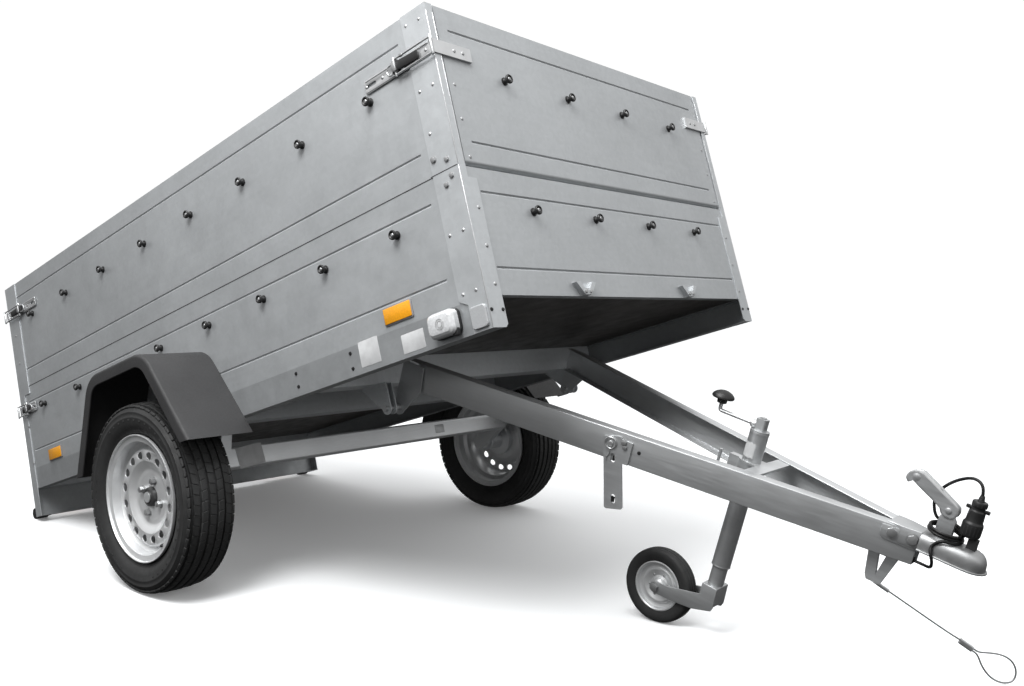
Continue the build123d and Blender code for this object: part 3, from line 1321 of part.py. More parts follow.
def cable_coil():
    """The coil's outer form: a ring laid on the coupling round the handle's block."""
    with BuildPart() as ring:
        with BuildSketch(Plane.XY.offset(COIL_FOOT)):
            with Locations((COIL_STATION, 0)):
                Circle(COIL_OUTER_R)
                Circle(COIL_INNER_R, mode=Mode.SUBTRACT)
        extrude(amount=COIL_TOP - COIL_FOOT)
    return ring.part


PLUG_WING_FOOT = 62.0


def plug():
    """Multi-pin plug standing on the coupling's cup: collar down, cable gland on top."""
    # Turned profile: radius, height
    profile = ((0, 0), (17.0, 0), (21.5, 4.0), (21.5, 35.0), (18.0, 39.0), (17.5, 62.0), (14.0, 66.0), (14.0, 70.0),
               (16.0, 72.0), (16.0, PLUG_HEIGHT - 3.0), (13.0, PLUG_HEIGHT), (0, PLUG_HEIGHT))
    with BuildPart() as body:
        with BuildSketch(side_plane(0)):
            with BuildLine():
                Polyline(*[(PLUG_STATION + r, PLUG_FOOT + h) for r, h in profile], close=True)
            make_face()
        revolve(axis=Axis(origin=(PLUG_STATION, 0, 0), direction=(0, 0, 1)))
        # Bayonet wings
        with BuildSketch(Plane.XY.offset(PLUG_FOOT + PLUG_WING_FOOT)):
            with Locations((PLUG_STATION, 0)):
                Rectangle(50.0, 9.0)
        extrude(amount=6.0)
    return body.part


CABLE_ORIGIN = Vector(BEAM_LENGTH, GROMMET_Y, BEAM_FOOT + BEAM_GAUGE + GROMMET[2] / 2)
CABLE_EXIT = (BEAM_LENGTH + 22.4, GROMMET_Y, CABLE_ORIGIN.Z)
RISE_END = (COIL_STATION - 14.0, -35.0)
ARCH_START = (COIL_STATION - 31.0, 18.0)
PLUG_TOP = PLUG_FOOT + PLUG_HEIGHT
# Cable from the grommet up to the coil's underside
CABLE_RISE = [CABLE_ORIGIN, CABLE_EXIT, (1329.1, -26.7, 78.1), (1330.5, -42.1, 97.6), (1322.0, -44.3, 113.9),
              (*RISE_END, COIL_FOOT - 18.2), (*RISE_END, COIL_FOOT)]
# Cable from the coil's top past the handle and down into the plug
CABLE_ARCH = [(*ARCH_START, COIL_TOP), (*ARCH_START, COIL_TOP + 24.0), (1291.0, 27.0, 220.0), (1299.0, 29.0, 249.0),
              (1320.0, 22.0, 277.0), (1349.7, 10.7, 297.4), (PLUG_STATION, 0.0, PLUG_TOP + 29.1),
              (PLUG_STATION, 0.0, PLUG_TOP)]

write(group(cable_grommet(), plug_stand()), "cable_fittings", BAR)
write(group(cord_tube("cable rise", CABLE_RISE, CABLE_R), cord_tube("cable arch", CABLE_ARCH, CABLE_R)),
      "electric_cable", BAR)
write(cable_coil(), "cable_coil", BAR)
write(plug(), "plug", BAR)

# ---------------------------------------------------------------- safety cable
WIRE_R = 2.0
CRIMP_R = 4.5
CRIMP_LENGTH = 34.0
GROUND = Plane.XY
WIRE_HEADING = 34.5
# The wire's loop from its second crimp and back to it: reach from the hook's foot, height over the floor
WIRE_LOOP = ((257.0, 73.0), (286.0, 70.0), (309.0, 57.0), (322.5, 33.0), (314.0, 8.5), (292.0, 3.2), (270.0, 10.0),
             (252.0, 26.0), (239.5, 47.0))
CRIMP_STATION = (191.3, 97.9)
STRAND_OFFSET = 2.6
STRAND_LEAD = 16.0


def ahead(reach, height):
    """A point of the wire's own upright plane, as reach from the hook and height over the floor."""
    return Vector(HOOK_FOOT.X + reach * cos(radians(WIRE_HEADING)), reach * sin(radians(WIRE_HEADING)), height)


def crimp(start, direction, length, half_width):
    """A swaged sleeve along the wire, widened across its two strands by half_width each way."""
    across_wire = direction.cross(Vector(0, 0, 1)).normalized()
    with BuildPart() as sleeve:
        with BuildSketch(Plane(origin=start, x_dir=across_wire, z_dir=direction)):
            Circle(CRIMP_R)
            if half_width:
                with Locations((0, half_width), (0, -half_width)):
                    Circle(CRIMP_R)
                Rectangle(2 * CRIMP_R, 2 * half_width)
        extrude(amount=length)
    return sleeve.part


HOOK_FOOT = BAR.from_local_coords(Vector(HOOK_STATION + 5.5, 0, -HOOK_DROP))
WIRE_END = ahead(*CRIMP_STATION)
wire_direction = (WIRE_END - HOOK_FOOT).normalized()
first_crimp_end = HOOK_FOOT + wire_direction * CRIMP_LENGTH
second_crimp_end = WIRE_END + wire_direction * CRIMP_LENGTH
strand_side = wire_direction.cross(Vector(0, 0, 1)).normalized().cross(wire_direction)
hook_face = Plane(origin=HOOK_FOOT, x_dir=BAR.x_dir, z_dir=BAR.z_dir)
with BuildPart() as first_crimp:
    add(crimp(HOOK_FOOT - wire_direction * CRIMP_LENGTH / 2, wire_direction, 1.5 * CRIMP_LENGTH, 0))
    split(bisect_by=hook_face, keep=Keep.BOTTOM)
with BuildPart() as wire_run:
    with BuildSketch(Plane(origin=first_crimp_end, z_dir=wire_direction)):
        Circle(WIRE_R)
    extrude(amount=(WIRE_END - first_crimp_end).length)
strand_out, strand_back = (second_crimp_end + strand_side * offset for offset in (STRAND_OFFSET, -STRAND_OFFSET))
loop_points = [strand_out, strand_out + wire_direction * STRAND_LEAD, *(ahead(*place) for place in WIRE_LOOP),
               strand_back + wire_direction * STRAND_LEAD, strand_back]
write(group(wire_run.part, cord_tube("wire loop", loop_points, WIRE_R)), "safety_cable", GROUND)
write(group(first_crimp.part, crimp(WIRE_END, wire_direction, CRIMP_LENGTH, STRAND_OFFSET)), "cable_crimps", GROUND)
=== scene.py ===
"""A single-axle tilting utility trailer, dressed round its fixed frame.

The bed stands nose up on its road wheels and tail buffers, and the drawbar is folded down to its
jockey wheel. Each sub-assembly is a class that builds and dresses its own pieces.
"""
import json
import logging
import math
from dataclasses import dataclass, replace
from enum import Enum
from typing import Sequence

import bmesh
import bpy
from mathutils import Matrix, Vector
from mathutils.bvhtree import BVHTree


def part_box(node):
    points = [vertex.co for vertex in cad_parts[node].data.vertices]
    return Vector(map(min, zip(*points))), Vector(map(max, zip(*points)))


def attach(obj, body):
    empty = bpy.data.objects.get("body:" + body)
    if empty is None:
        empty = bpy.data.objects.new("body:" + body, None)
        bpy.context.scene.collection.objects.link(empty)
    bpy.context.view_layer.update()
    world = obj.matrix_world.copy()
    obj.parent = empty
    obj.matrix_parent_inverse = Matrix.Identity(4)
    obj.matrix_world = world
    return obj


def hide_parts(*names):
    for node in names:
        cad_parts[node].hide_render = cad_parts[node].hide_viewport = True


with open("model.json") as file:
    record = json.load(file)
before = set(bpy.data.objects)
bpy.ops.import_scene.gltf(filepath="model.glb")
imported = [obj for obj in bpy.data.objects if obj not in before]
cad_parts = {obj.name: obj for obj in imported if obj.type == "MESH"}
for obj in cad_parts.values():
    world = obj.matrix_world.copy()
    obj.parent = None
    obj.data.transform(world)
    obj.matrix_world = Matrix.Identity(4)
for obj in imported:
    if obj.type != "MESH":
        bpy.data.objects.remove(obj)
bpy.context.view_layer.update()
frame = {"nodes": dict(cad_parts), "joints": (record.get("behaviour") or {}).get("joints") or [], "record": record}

LOG = logging.getLogger("trailer")
MM = 0.001
Point = Sequence[float]


class Side(Enum):
    """A side of the trailer, as the sign of Y."""

    RIGHT = -1
    LEFT = 1


class End(Enum):
    """An end of the bed, as the way its wall faces along X."""

    FRONT = 1
    REAR = -1


# ---------------------------------------------------------------- lays
@dataclass(frozen=True)
class Lay:
    """A level lay, in millimetres, that an assembly is drawn on, and where it stands in metres."""

    origin: tuple[float, float, float]
    pitch: float

    def matrix(self) -> Matrix:
        """The transform from this lay to the shared frame."""
        turn = Matrix.Rotation(-math.radians(self.pitch), 4, "Y")
        return Matrix.Translation(self.origin) @ turn @ Matrix.Scale(MM, 4)

    def at(self, x: float, y: float, z: float) -> Vector:
        """A point of this lay in the shared frame, in metres."""
        return self.matrix() @ Vector((x, y, z))


def joint_place(name: str) -> Vector:
    """Where a joint of the frame stands, in metres."""
    return next(Vector(joint["pos_m"]) for joint in frame["joints"] if joint["name"] == name)


BED_PITCH = 17.1
BAR_PITCH = -14.9
BED_LENGTH = 2340.0
WALL_SKIN = 637.0
POST_SKIN = 640.0
HINGE_PLACE = Vector((-600.0, 0.0, -72.0))
GROUND = Lay((0.0, 0.0, 0.0), 0.0)
BAR = Lay(tuple(joint_place("bed_tilt")), BAR_PITCH)
BED = Lay(tuple(BAR.at(0, 0, 0) - Lay((0.0, 0.0, 0.0), BED_PITCH).at(*HINGE_PLACE)), BED_PITCH)


# ---------------------------------------------------------------- node boards
# The part of a noise pattern's range where nearly all of it lies
NOISE_SPAN = (0.3, 0.7)


class Board:
    """A material's node board round one main shader."""

    def __init__(self, name: str) -> None:
        """Start an empty board.

        Args:
            name: the material's name.
        """
        self.material = bpy.data.materials.new(name)
        self.material.use_nodes = True
        self.tree = self.material.node_tree
        self.shader = self.tree.nodes["Principled BSDF"]
        self._place = None

    def node(self, kind: str, **values: object) -> bpy.types.Node:
        """Add a node.

        Args:
            kind: the node's type.
            values: properties, or sockets by name with _ for a space; a socket value is linked.

        Returns:
            The new node.
        """
        made = self.tree.nodes.new(kind)
        for key, value in values.items():
            if hasattr(made, key) and key not in made.inputs:
                setattr(made, key, value)
                continue
            socket = made.inputs[key.replace("_", " ")]
            if isinstance(value, bpy.types.NodeSocket):
                self.tree.links.new(value, socket)
            else:
                socket.default_value = value
        return made

    def place(self, stretch: Point = (1.0, 1.0, 1.0), turn: float = 0.0) -> bpy.types.NodeSocket:
        """Object coordinates, stretched and turned about Y.

        Args:
            stretch: scale along each axis.
            turn: turn about Y in degrees.

        Returns:
            The vector socket.
        """
        source = self.node("ShaderNodeTexCoord").outputs["Object"]
        mapping = self.node("ShaderNodeMapping", Vector=source)
        mapping.inputs["Rotation"].default_value = (0.0, math.radians(turn), 0.0)
        stretched = self.node("ShaderNodeVectorMath", operation="MULTIPLY")
        self.tree.links.new(mapping.outputs["Vector"], stretched.inputs[0])
        stretched.inputs[1].default_value = stretch
        return stretched.outputs["Vector"]

    def noise(self, scale: float, detail: float = 3.0, rough: float = 0.5, stretch: Point = (1.0, 1.0, 1.0),
              turn: float = 0.0) -> bpy.types.NodeSocket:
        """A noise pattern on object coordinates."""
        texture = self.node("ShaderNodeTexNoise", Vector=self.place(stretch, turn), Scale=scale,
                            Detail=detail, Roughness=rough)
        return texture.outputs["Fac"]

    def cells(self, scale: float, stretch: Point = (1.0, 1.0, 1.0)) -> bpy.types.NodeSocket:
        """A different grey for each cell of a crystal pattern."""
        texture = self.node("ShaderNodeTexVoronoi", Vector=self.place(stretch), Scale=scale)
        parted = self.node("ShaderNodeSeparateColor", Color=texture.outputs["Color"])
        return parted.outputs["Red"]

    def ramp(self, factor: bpy.types.NodeSocket, low: float, high: float, start: Point,
             end: Point) -> bpy.types.NodeSocket:
        """A two-stop colour ramp.

        Args:
            factor: what drives the ramp.
            low: where it starts.
            high: where it ends.
            start: the first colour.
            end: the last colour.

        Returns:
            The colour socket.
        """
        ramp = self.node("ShaderNodeValToRGB", Fac=factor)
        stops = ramp.color_ramp.elements
        stops[0].position, stops[1].position = low, high
        stops[0].color, stops[1].color = (*start[:3], 1.0), (*end[:3], 1.0)
        return ramp.outputs["Color"]

    def spread(self, factor: bpy.types.NodeSocket, low: float, high: float) -> bpy.types.NodeSocket:
        """The factor's middle range stretched over low to high."""
        mapped = self.node("ShaderNodeMapRange", Value=factor)
        for end, value in zip(("From Min", "From Max", "To Min", "To Max"), (*NOISE_SPAN, low, high)):
            mapped.inputs[end].default_value = value
        return mapped.outputs["Result"]

    def blend(self, factor: bpy.types.NodeSocket | float, first: bpy.types.NodeSocket | Point,
              second: bpy.types.NodeSocket | Point, way: str = "MIX") -> bpy.types.NodeSocket:
        """Two colours mixed.

        Args:
            factor: how much of the second.
            first: a colour or its socket.
            second: a colour or its socket.
            way: the blend type.

        Returns:
            The colour socket.
        """
        mix = self.node("ShaderNodeMix", data_type="RGBA", blend_type=way)
        for slot, value in ((0, factor), (6, first), (7, second)):
            if isinstance(value, bpy.types.NodeSocket):
                self.tree.links.new(value, mix.inputs[slot])
            else:
                mix.inputs[slot].default_value = value if slot == 0 else (*value[:3], 1.0)
        return mix.outputs[2]

    def colour(self, value: bpy.types.NodeSocket | Point) -> None:
        """Set or link the shader's base colour."""
        if isinstance(value, bpy.types.NodeSocket):
            self.tree.links.new(value, self.shader.inputs["Base Color"])
        else:
            self.shader.inputs["Base Color"].default_value = (*value[:3], 1.0)

    def rough(self, value: bpy.types.NodeSocket | float) -> None:
        """Set or link the shader's roughness."""
        if isinstance(value, bpy.types.NodeSocket):
            self.tree.links.new(value, self.shader.inputs["Roughness"])
        else:
            self.shader.inputs["Roughness"].default_value = value

    def cloud(self, scale: float, detail: float, low: float, high: float) -> None:
        """Cloud the base colour between two greys."""
        self.colour(self.ramp(self.noise(scale, detail), *NOISE_SPAN, grey(low), grey(high)))

    def scuff(self, scale: float, detail: float, low: float, high: float) -> None:
        """Vary the roughness between two values by a noise pattern."""
        self.rough(self.spread(self.noise(scale, detail), low, high))

    def grain(self, scale: float, strength: float, depth: float, detail: float = 2.0) -> None:
        """Raise a noise pattern, `depth` metres at most."""
        self.bump(self.noise(scale, detail), strength, depth)

    def bump(self, height: bpy.types.NodeSocket, strength: float, depth: float) -> None:
        """Raise the surface by a pattern, `depth` metres at most."""
        bump = self.node("ShaderNodeBump", Height=height, Strength=strength, Distance=depth)
        self.tree.links.new(bump.outputs["Normal"], self.shader.inputs["Normal"])

    def settle(self, **values: float | Point) -> None:
        """Set the shader's own sockets, named with _ for a space."""
        for key, value in values.items():
            self.shader.inputs[key.replace("_", " ")].default_value = value


# ---------------------------------------------------------------- finishes
def grey(level: float) -> tuple[float, float, float]:
    """A neutral colour with the faint blue of zinc."""
    return (level * 0.985, level, level * 1.01)


@dataclass(frozen=True)
class Finish:
    """A surface finish; its material is made once and shared."""

    name: str

    def material(self) -> bpy.types.Material:
        """The finish's material, made on first use."""
        title = f"{self.name}_finish"
        found = bpy.data.materials.get(title)
        if found:
            return found
        board = Board(title)
        self.paint(board)
        return board.material

    def paint(self, board: Board) -> None:
        """Lay the finish out on its node board."""
        raise NotImplementedError


@dataclass(frozen=True)
class GalvanisedSheet(Finish):
    """Dull zinc on rolled sheet: soft spangle, faint drawing streaks and cloudy oxide."""

    level: float = 0.42
    spread: float = 0.026
    metal: float = 0.55
    roughness: float = 0.46
    turn: float = 0.0
    streaks: float = 0.03

    def paint(self, board: Board) -> None:
        """Cloud, spangle and streaks over a half metallic grey."""
        cloud = board.noise(3.2, 4.0, 0.55)
        base = board.ramp(cloud, *NOISE_SPAN, grey(self.level - self.spread), grey(self.level + self.spread))
        spangle = board.ramp(board.cells(95.0), 0.0, 1.0, grey(0.90), grey(1.0))
        tone = board.blend(0.55, base, spangle, "MULTIPLY")
        streak = board.noise(9.0, 3.0, 0.6, (0.35, 1.0, 9.0), self.turn)
        lines = board.ramp(streak, 0.35, 0.65, grey(1.0 - self.streaks), grey(1.0))
        board.colour(board.blend(1.0, tone, lines, "MULTIPLY"))
        board.scuff(26.0, 3.0, self.roughness - 0.06, self.roughness + 0.08)
        board.settle(Metallic=self.metal)
        board.grain(160.0, 0.10, 0.0004)


@dataclass(frozen=True)
class BrightZinc(Finish):
    """Bright passivated zinc on pressed fittings and bolts."""

    level: float = 0.60
    roughness: float = 0.34

    def paint(self, board: Board) -> None:
        """Fine handling marks on bright plate."""
        board.cloud(24.0, 3.0, self.level - 0.05, self.level + 0.04)
        board.scuff(90.0, 3.0, self.roughness - 0.05, self.roughness + 0.07)
        board.settle(Metallic=0.85)
        board.grain(300.0, 0.05, 0.0001)


@dataclass(frozen=True)
class DrawnSteel(Finish):
    """Zinc over drawn tube and folded bar, with lengthwise draw lines."""

    level: float = 0.40
    roughness: float = 0.38
    turn: float = BAR_PITCH

    def paint(self, board: Board) -> None:
        """Draw lines along the bar and a light oxide cloud."""
        lines = board.noise(14.0, 4.0, 0.6, (0.5, 3.0, 14.0), self.turn)
        cloud = board.noise(5.0, 3.0)
        base = board.ramp(cloud, *NOISE_SPAN, grey(self.level - 0.05), grey(self.level + 0.05))
        drawn = board.ramp(lines, *NOISE_SPAN, grey(0.86), grey(1.0))
        board.colour(board.blend(0.5, base, drawn, "MULTIPLY"))
        board.rough(board.spread(lines, self.roughness - 0.06, self.roughness + 0.10))
        board.settle(Metallic=0.75)
        board.bump(lines, 0.08, 0.0003)


@dataclass(frozen=True)
class MouldedPlastic(Finish):
    """Grained, dull moulded plastic."""

    level: float = 0.05
    roughness: float = 0.55
    grain: float = 420.0
    gloss: float = 0.4

    def paint(self, board: Board) -> None:
        """Fine pebble grain with a slow change of tone."""
        cloud = board.noise(7.0, 3.0)
        low, high = self.level * 0.85, self.level * 1.15
        board.colour(board.ramp(cloud, *NOISE_SPAN, (low, low, low * 1.03), (high, high, high * 1.03)))
        board.scuff(self.grain * 0.4, 2.0, self.roughness - 0.05, self.roughness + 0.07)
        board.settle(Specular_IOR_Level=self.gloss)
        board.grain(self.grain, 0.25, 0.0004)


@dataclass(frozen=True)
class TyreRubber(Finish):
    """Carbon-black rubber with a dull bloom."""

    level: float = 0.018
    roughness: float = 0.62

    def paint(self, board: Board) -> None:
        """Uneven bloom and a fine moulded skin."""
        cloud = board.noise(11.0, 4.0, 0.6)
        board.colour(board.ramp(cloud, 0.3, 0.75, grey(self.level * 0.8), grey(self.level * 1.7)))
        board.scuff(60.0, 3.0, self.roughness - 0.08, self.roughness + 0.10)
        board.settle(Specular_IOR_Level=0.4)
        board.grain(600.0, 0.2, 0.0003)


@dataclass(frozen=True)
class WheelPaint(Finish):
    """Silver paint on a pressed steel wheel."""

    level: float = 0.60

    def paint(self, board: Board) -> None:
        """Metallic flake under a satin coat, with brake dust in a soft cloud."""
        board.cloud(18.0, 4.0, self.level - 0.07, self.level + 0.04)
        board.scuff(900.0, 1.0, 0.32, 0.48)
        board.settle(Metallic=0.6, Coat_Weight=0.2, Coat_Roughness=0.35)


@dataclass(frozen=True)
class DarkEnamel(Finish):
    """Black enamel on small castings and levers."""

    level: float = 0.02
    roughness: float = 0.33

    def paint(self, board: Board) -> None:
        """A soft gloss with dusty patches."""
        board.cloud(30.0, 3.0, self.level, self.level * 2.2)
        board.scuff(90.0, 2.0, self.roughness - 0.06, self.roughness + 0.14)
        board.grain(240.0, 0.1, 0.0003)


@dataclass(frozen=True)
class PhenolicBoard(Finish):
    """Brown resin-faced plywood with a fine pressed mesh."""

    # The board's own dark brown, darkened further as painted shade for its shaded underside
    tone: tuple[float, float, float] = (0.022, 0.016, 0.013)

    def paint(self, board: Board) -> None:
        """Pressed wire mesh over cloudy resin."""
        low = tuple(v * 0.7 for v in self.tone)
        high = tuple(v * 1.3 for v in self.tone)
        board.colour(board.ramp(board.noise(6.0, 5.0), *NOISE_SPAN, low, high))
        mesh = board.node("ShaderNodeTexChecker", Vector=board.place(turn=BED_PITCH), Scale=280.0)
        board.scuff(20.0, 3.0, 0.36, 0.52)
        board.bump(mesh.outputs["Fac"], 0.35, 0.0003)


@dataclass(frozen=True)
class Lens(Finish):
    """Moulded lamp or reflector plastic with a prism pattern under its face."""

    tone: tuple[float, float, float] = (0.9, 0.42, 0.02)
    pitch: float = 260.0
    roughness: float = 0.22
    coat: float = 0.6

    def paint(self, board: Board) -> None:
        """Prisms as a small regular relief under a clear coat."""
        cells = board.node("ShaderNodeTexVoronoi", Vector=board.place(turn=BED_PITCH), Scale=self.pitch)
        low = tuple(v * 0.82 for v in self.tone)
        board.colour(board.ramp(cells.outputs["Distance"], 0.0, 0.7, self.tone, low))
        board.scuff(60.0, 2.0, self.roughness - 0.04, self.roughness + 0.06)
        board.settle(Coat_Weight=self.coat, Coat_Roughness=0.12, Specular_IOR_Level=0.5)
        board.bump(cells.outputs["Distance"], 0.25, 0.0006)


@dataclass(frozen=True)
class LabelFilm(Finish):
    """A bare printed-stock label, slightly scuffed."""

    level: float = 0.50

    def paint(self, board: Board) -> None:
        """Satin film with handling smears."""
        board.cloud(40.0, 4.0, self.level - 0.06, self.level + 0.04)
        board.scuff(120.0, 2.0, 0.4, 0.55)


@dataclass(frozen=True)
class StudioFloor(Finish):
    """A plain pale floor."""

    level: float = 0.95

    def paint(self, board: Board) -> None:
        """Matt pale grey with the least unevenness."""
        board.cloud(0.6, 2.0, self.level - 0.01, self.level + 0.01)
        board.rough(0.9)
        board.settle(Specular_IOR_Level=0.1, Emission_Color=(1.0, 1.0, 1.0, 1.0), Emission_Strength=0.12)


WALL_SHEET = GalvanisedSheet("wall_sheet", level=0.45, turn=BED_PITCH)
FRAME_SHEET = GalvanisedSheet("frame_sheet", level=0.38, metal=0.6, roughness=0.42, turn=BED_PITCH)
CORNER_SHEET = GalvanisedSheet("corner_sheet", level=0.54, metal=0.6, roughness=0.42, turn=BED_PITCH)
# A lighter copy of the galvanised sheet for the cross-members and hinge brackets in the shade under the bed:
# painted light for their bright highlights
UNDER_SHEET_LIT = GalvanisedSheet("under_sheet_lit", level=0.66, metal=0.5, roughness=0.45, turn=BED_PITCH)
BAR_STEEL = DrawnSteel("bar_steel", level=0.62)
TUBE_STEEL = DrawnSteel("tube_steel", level=0.52, roughness=0.36)
AXLE_STEEL = DrawnSteel("axle_steel", level=0.80, turn=BED_PITCH)
BRIGHT_ZINC = BrightZinc("bright_zinc")
BOLT_ZINC = BrightZinc("bolt_zinc", level=0.42, roughness=0.42)
WIRE_STEEL = BrightZinc("wire_steel", level=0.3, roughness=0.4)
FENDER_PLASTIC = MouldedPlastic("fender_plastic", level=0.028, roughness=0.6, gloss=0.3)
BLACK_PLASTIC = MouldedPlastic("black_plastic", level=0.011, roughness=0.42, gloss=0.4)
BLACK_RUBBER = MouldedPlastic("black_rubber", level=0.014, roughness=0.62, grain=700.0)
CABLE_SHEATH = MouldedPlastic("cable_sheath", level=0.006, roughness=0.42, grain=900.0, gloss=0.3)
TYRE_SKIN = TyreRubber("tyre_skin")
WHEEL_SILVER = WheelPaint("wheel_silver", level=0.72)
HUB_ENAMEL = DarkEnamel("hub_enamel")
FLOOR_PLY = PhenolicBoard("floor_ply")
AMBER = Lens("amber_lens", tone=(0.86, 0.36, 0.01))
CLEAR = Lens("clear_lens", tone=(0.60, 0.61, 0.62), pitch=180.0)
RED = Lens("red_lens", tone=(0.42, 0.012, 0.012))
FROSTED = Lens("frosted_pad", tone=(0.38, 0.39, 0.40), pitch=500.0, roughness=0.4, coat=0.1)
LABEL = LabelFilm("label_film")
PITTED_ZINC = DrawnSteel("pitted_zinc", level=0.50, roughness=0.42)
CAST_ZINC = BrightZinc("cast_zinc", level=0.33, roughness=0.46)
# Near-black finish for the painted shadow along the wall seams
SEAM_SHADOW = MouldedPlastic("seam_shadow", level=0.03, roughness=0.7)
AMBER_EDGE = MouldedPlastic("amber_edge", level=0.2)
LENS_CORE = BrightZinc("lens_core", level=0.5)

NODE_FINISHES: dict[Finish, tuple[str, ...]] = {
    WALL_SHEET: ("side_wall_right", "side_wall_left", "front_wall", "extension_side_right",
                 "extension_side_left", "extension_front", "extension_rear", "tailgate"),
    FRAME_SHEET: ("rail_right", "rail_left", "lamp_board"),
    UNDER_SHEET_LIT: ("cross_members", "hinge_brackets"),
    CORNER_SHEET: ("corner_posts", "extension_posts", "lock_ears"),
    FLOOR_PLY: ("floor_board",),
    AXLE_STEEL: ("axle_beam", "trailing_arms"),
    BAR_STEEL: ("drawbar_beam_right", "drawbar_beam_left", "pivot_plates", "jockey_bracket", "lock_strap",
                "cable_bracket"),
    TUBE_STEEL: ("jockey_tube", "jockey_leg", "jockey_fork", "coupling"),
    FENDER_PLASTIC: ("fender_right", "fender_left"),
    TYRE_SKIN: ("tyre_right", "tyre_left", "jockey_wheel"),
    WHEEL_SILVER: ("rim_right", "rim_left"),
    HUB_ENAMEL: ("hub_right", "hub_left"),
    BLACK_RUBBER: ("tail_buffers", "cable_fittings"),
    BLACK_PLASTIC: ("rope_knobs_bed", "rope_knobs_extension_front", "rope_knobs_extension_rear",
                    "rope_knobs_tailgate", "jockey_crank", "plug"),
    BRIGHT_ZINC: ("latches", "catches_extension_front", "catches_extension_rear", "catches_tailgate",
                  "hinge_pins", "cable_crimps"),
    AMBER: ("reflectors",),
    CLEAR: ("marker_lamps",),
    RED: ("tail_lamps",),
    FROSTED: ("corner_pads",),
    CABLE_SHEATH: ("electric_cable", "cable_coil"),
    WIRE_STEEL: ("safety_cable",),
}


def dress_nodes() -> None:
    """Give every node of the frame its finish."""
    for finish, names in NODE_FINISHES.items():
        for name in names:
            mesh = frame["nodes"][name].data
            mesh.materials.clear()
            mesh.materials.append(finish.material())


# ---------------------------------------------------------------- workbench
def at(x: float, y: float, z: float) -> Matrix:
    """A place without a turn."""
    return Matrix.Translation((x, y, z))


def facing(origin: Point, normal: Point, up: Point = (0.0, 0.0, 1.0)) -> Matrix:
    """A place whose local Z points along a normal.

    Args:
        origin: the place's origin.
        normal: where local Z points.
        up: the rough direction of local Y.

    Returns:
        The place's matrix.
    """
    z_axis = Vector(normal).normalized()
    x_axis = Vector(up).cross(z_axis).normalized()
    turn = Matrix((x_axis, z_axis.cross(x_axis), z_axis)).transposed().to_4x4()
    return Matrix.Translation(origin) @ turn


def keen(form: bmesh.types.BMesh, angle: float) -> list[bmesh.types.BMEdge]:
    """The edges where two faces meet at more than an angle in radians."""
    return [edge for edge in form.edges if edge.calc_face_angle(0.0) > angle]


def soften(form: bmesh.types.BMesh, edges: Sequence[bmesh.types.BMEdge], radius: float, segments: int = 2,
           clamp: bool = False) -> None:
    """Round some edges of a form.

    Args:
        form: the form.
        edges: which of its edges.
        radius: the rounding's radius.
        segments: how many steps round an edge.
        clamp: whether the radius shrinks where there is no room.
    """
    bmesh.ops.bevel(form, geom=edges, offset=radius, affect="EDGES", segments=segments, profile=0.5,
                    material=-1, clamp_overlap=clamp)


def block(size: Point, edge: float = 0.0, segments: int = 2) -> bmesh.types.BMesh:
    """A box round the origin with rounded edges.

    Args:
        size: its lengths along X, Y and Z.
        edge: the radius of its edges.
        segments: how many steps round an edge.

    Returns:
        The form.
    """
    form = bmesh.new()
    bmesh.ops.create_cube(form, size=1.0, matrix=Matrix.Diagonal((*size, 1.0)))
    if edge:
        soften(form, form.edges[:], edge, segments)
    return form


def bar(radius: float, length: float, sides: int = 24, edge: float = 0.0) -> bmesh.types.BMesh:
    """A round or many-sided bar from the origin up along Z.

    Args:
        radius: its radius.
        length: its length.
        sides: how many sides it has.
        edge: the chamfer at its ends.

    Returns:
        The form.
    """
    form = bmesh.new()
    bmesh.ops.create_cone(form, cap_ends=True, segments=sides, radius1=radius, radius2=radius, depth=length,
                          matrix=at(0, 0, length / 2))
    if edge:
        soften(form, [e for e in form.edges if abs(e.verts[0].co.z - e.verts[1].co.z) < 1e-6], edge)
    return form


def turned(profile: Sequence[tuple[float, float]], sides: int = 48) -> bmesh.types.BMesh:
    """A form turned about Z.

    Args:
        profile: radius and height of each point, in order; closed on the axis or on itself.
        sides: steps round the axis.

    Returns:
        The form.
    """
    form = bmesh.new()
    line = [form.verts.new((radius, 0.0, height)) for radius, height in profile]
    edges = [form.edges.new(pair) for pair in zip(line, line[1:])]
    bmesh.ops.spin(form, geom=line + edges, cent=(0, 0, 0), axis=(0, 0, 1), angle=math.tau, steps=sides,
                   use_merge=True)
    bmesh.ops.remove_doubles(form, verts=form.verts, dist=1e-4)
    bmesh.ops.recalc_face_normals(form, faces=form.faces)
    return form


def ring_of(section: Sequence[tuple[float, float]], sides: int = 48) -> bmesh.types.BMesh:
    """A closed section turned about Z into a ring."""
    return turned([*section, section[0]], sides)


def plate(outline: Sequence[tuple[float, float]], thickness: float,
          holes: Sequence[Sequence[tuple[float, float]]] = (), edge: float = 0.0) -> bmesh.types.BMesh:
    """A flat plate with its lower face on Z = 0.

    Args:
        outline: its corners in order.
        thickness: its thickness along Z.
        holes: outlines of its holes.
        edge: the rounding of its outer edges.

    Returns:
        The form.
    """
    form = bmesh.new()
    edges = []
    for loop in (outline, *holes):
        corners = [form.verts.new((x, y, 0.0)) for x, y in loop]
        edges += [form.edges.new(pair) for pair in zip(corners, corners[1:] + corners[:1])]
    bmesh.ops.triangle_fill(form, use_beauty=True, use_dissolve=True, edges=edges)
    bmesh.ops.solidify(form, geom=form.faces[:], thickness=thickness)
    low = min(vert.co.z for vert in form.verts)
    bmesh.ops.translate(form, verts=form.verts, vec=(0, 0, -low))
    bmesh.ops.recalc_face_normals(form, faces=form.faces)
    if edge:
        soften(form, keen(form, 1.0), edge)
    return form


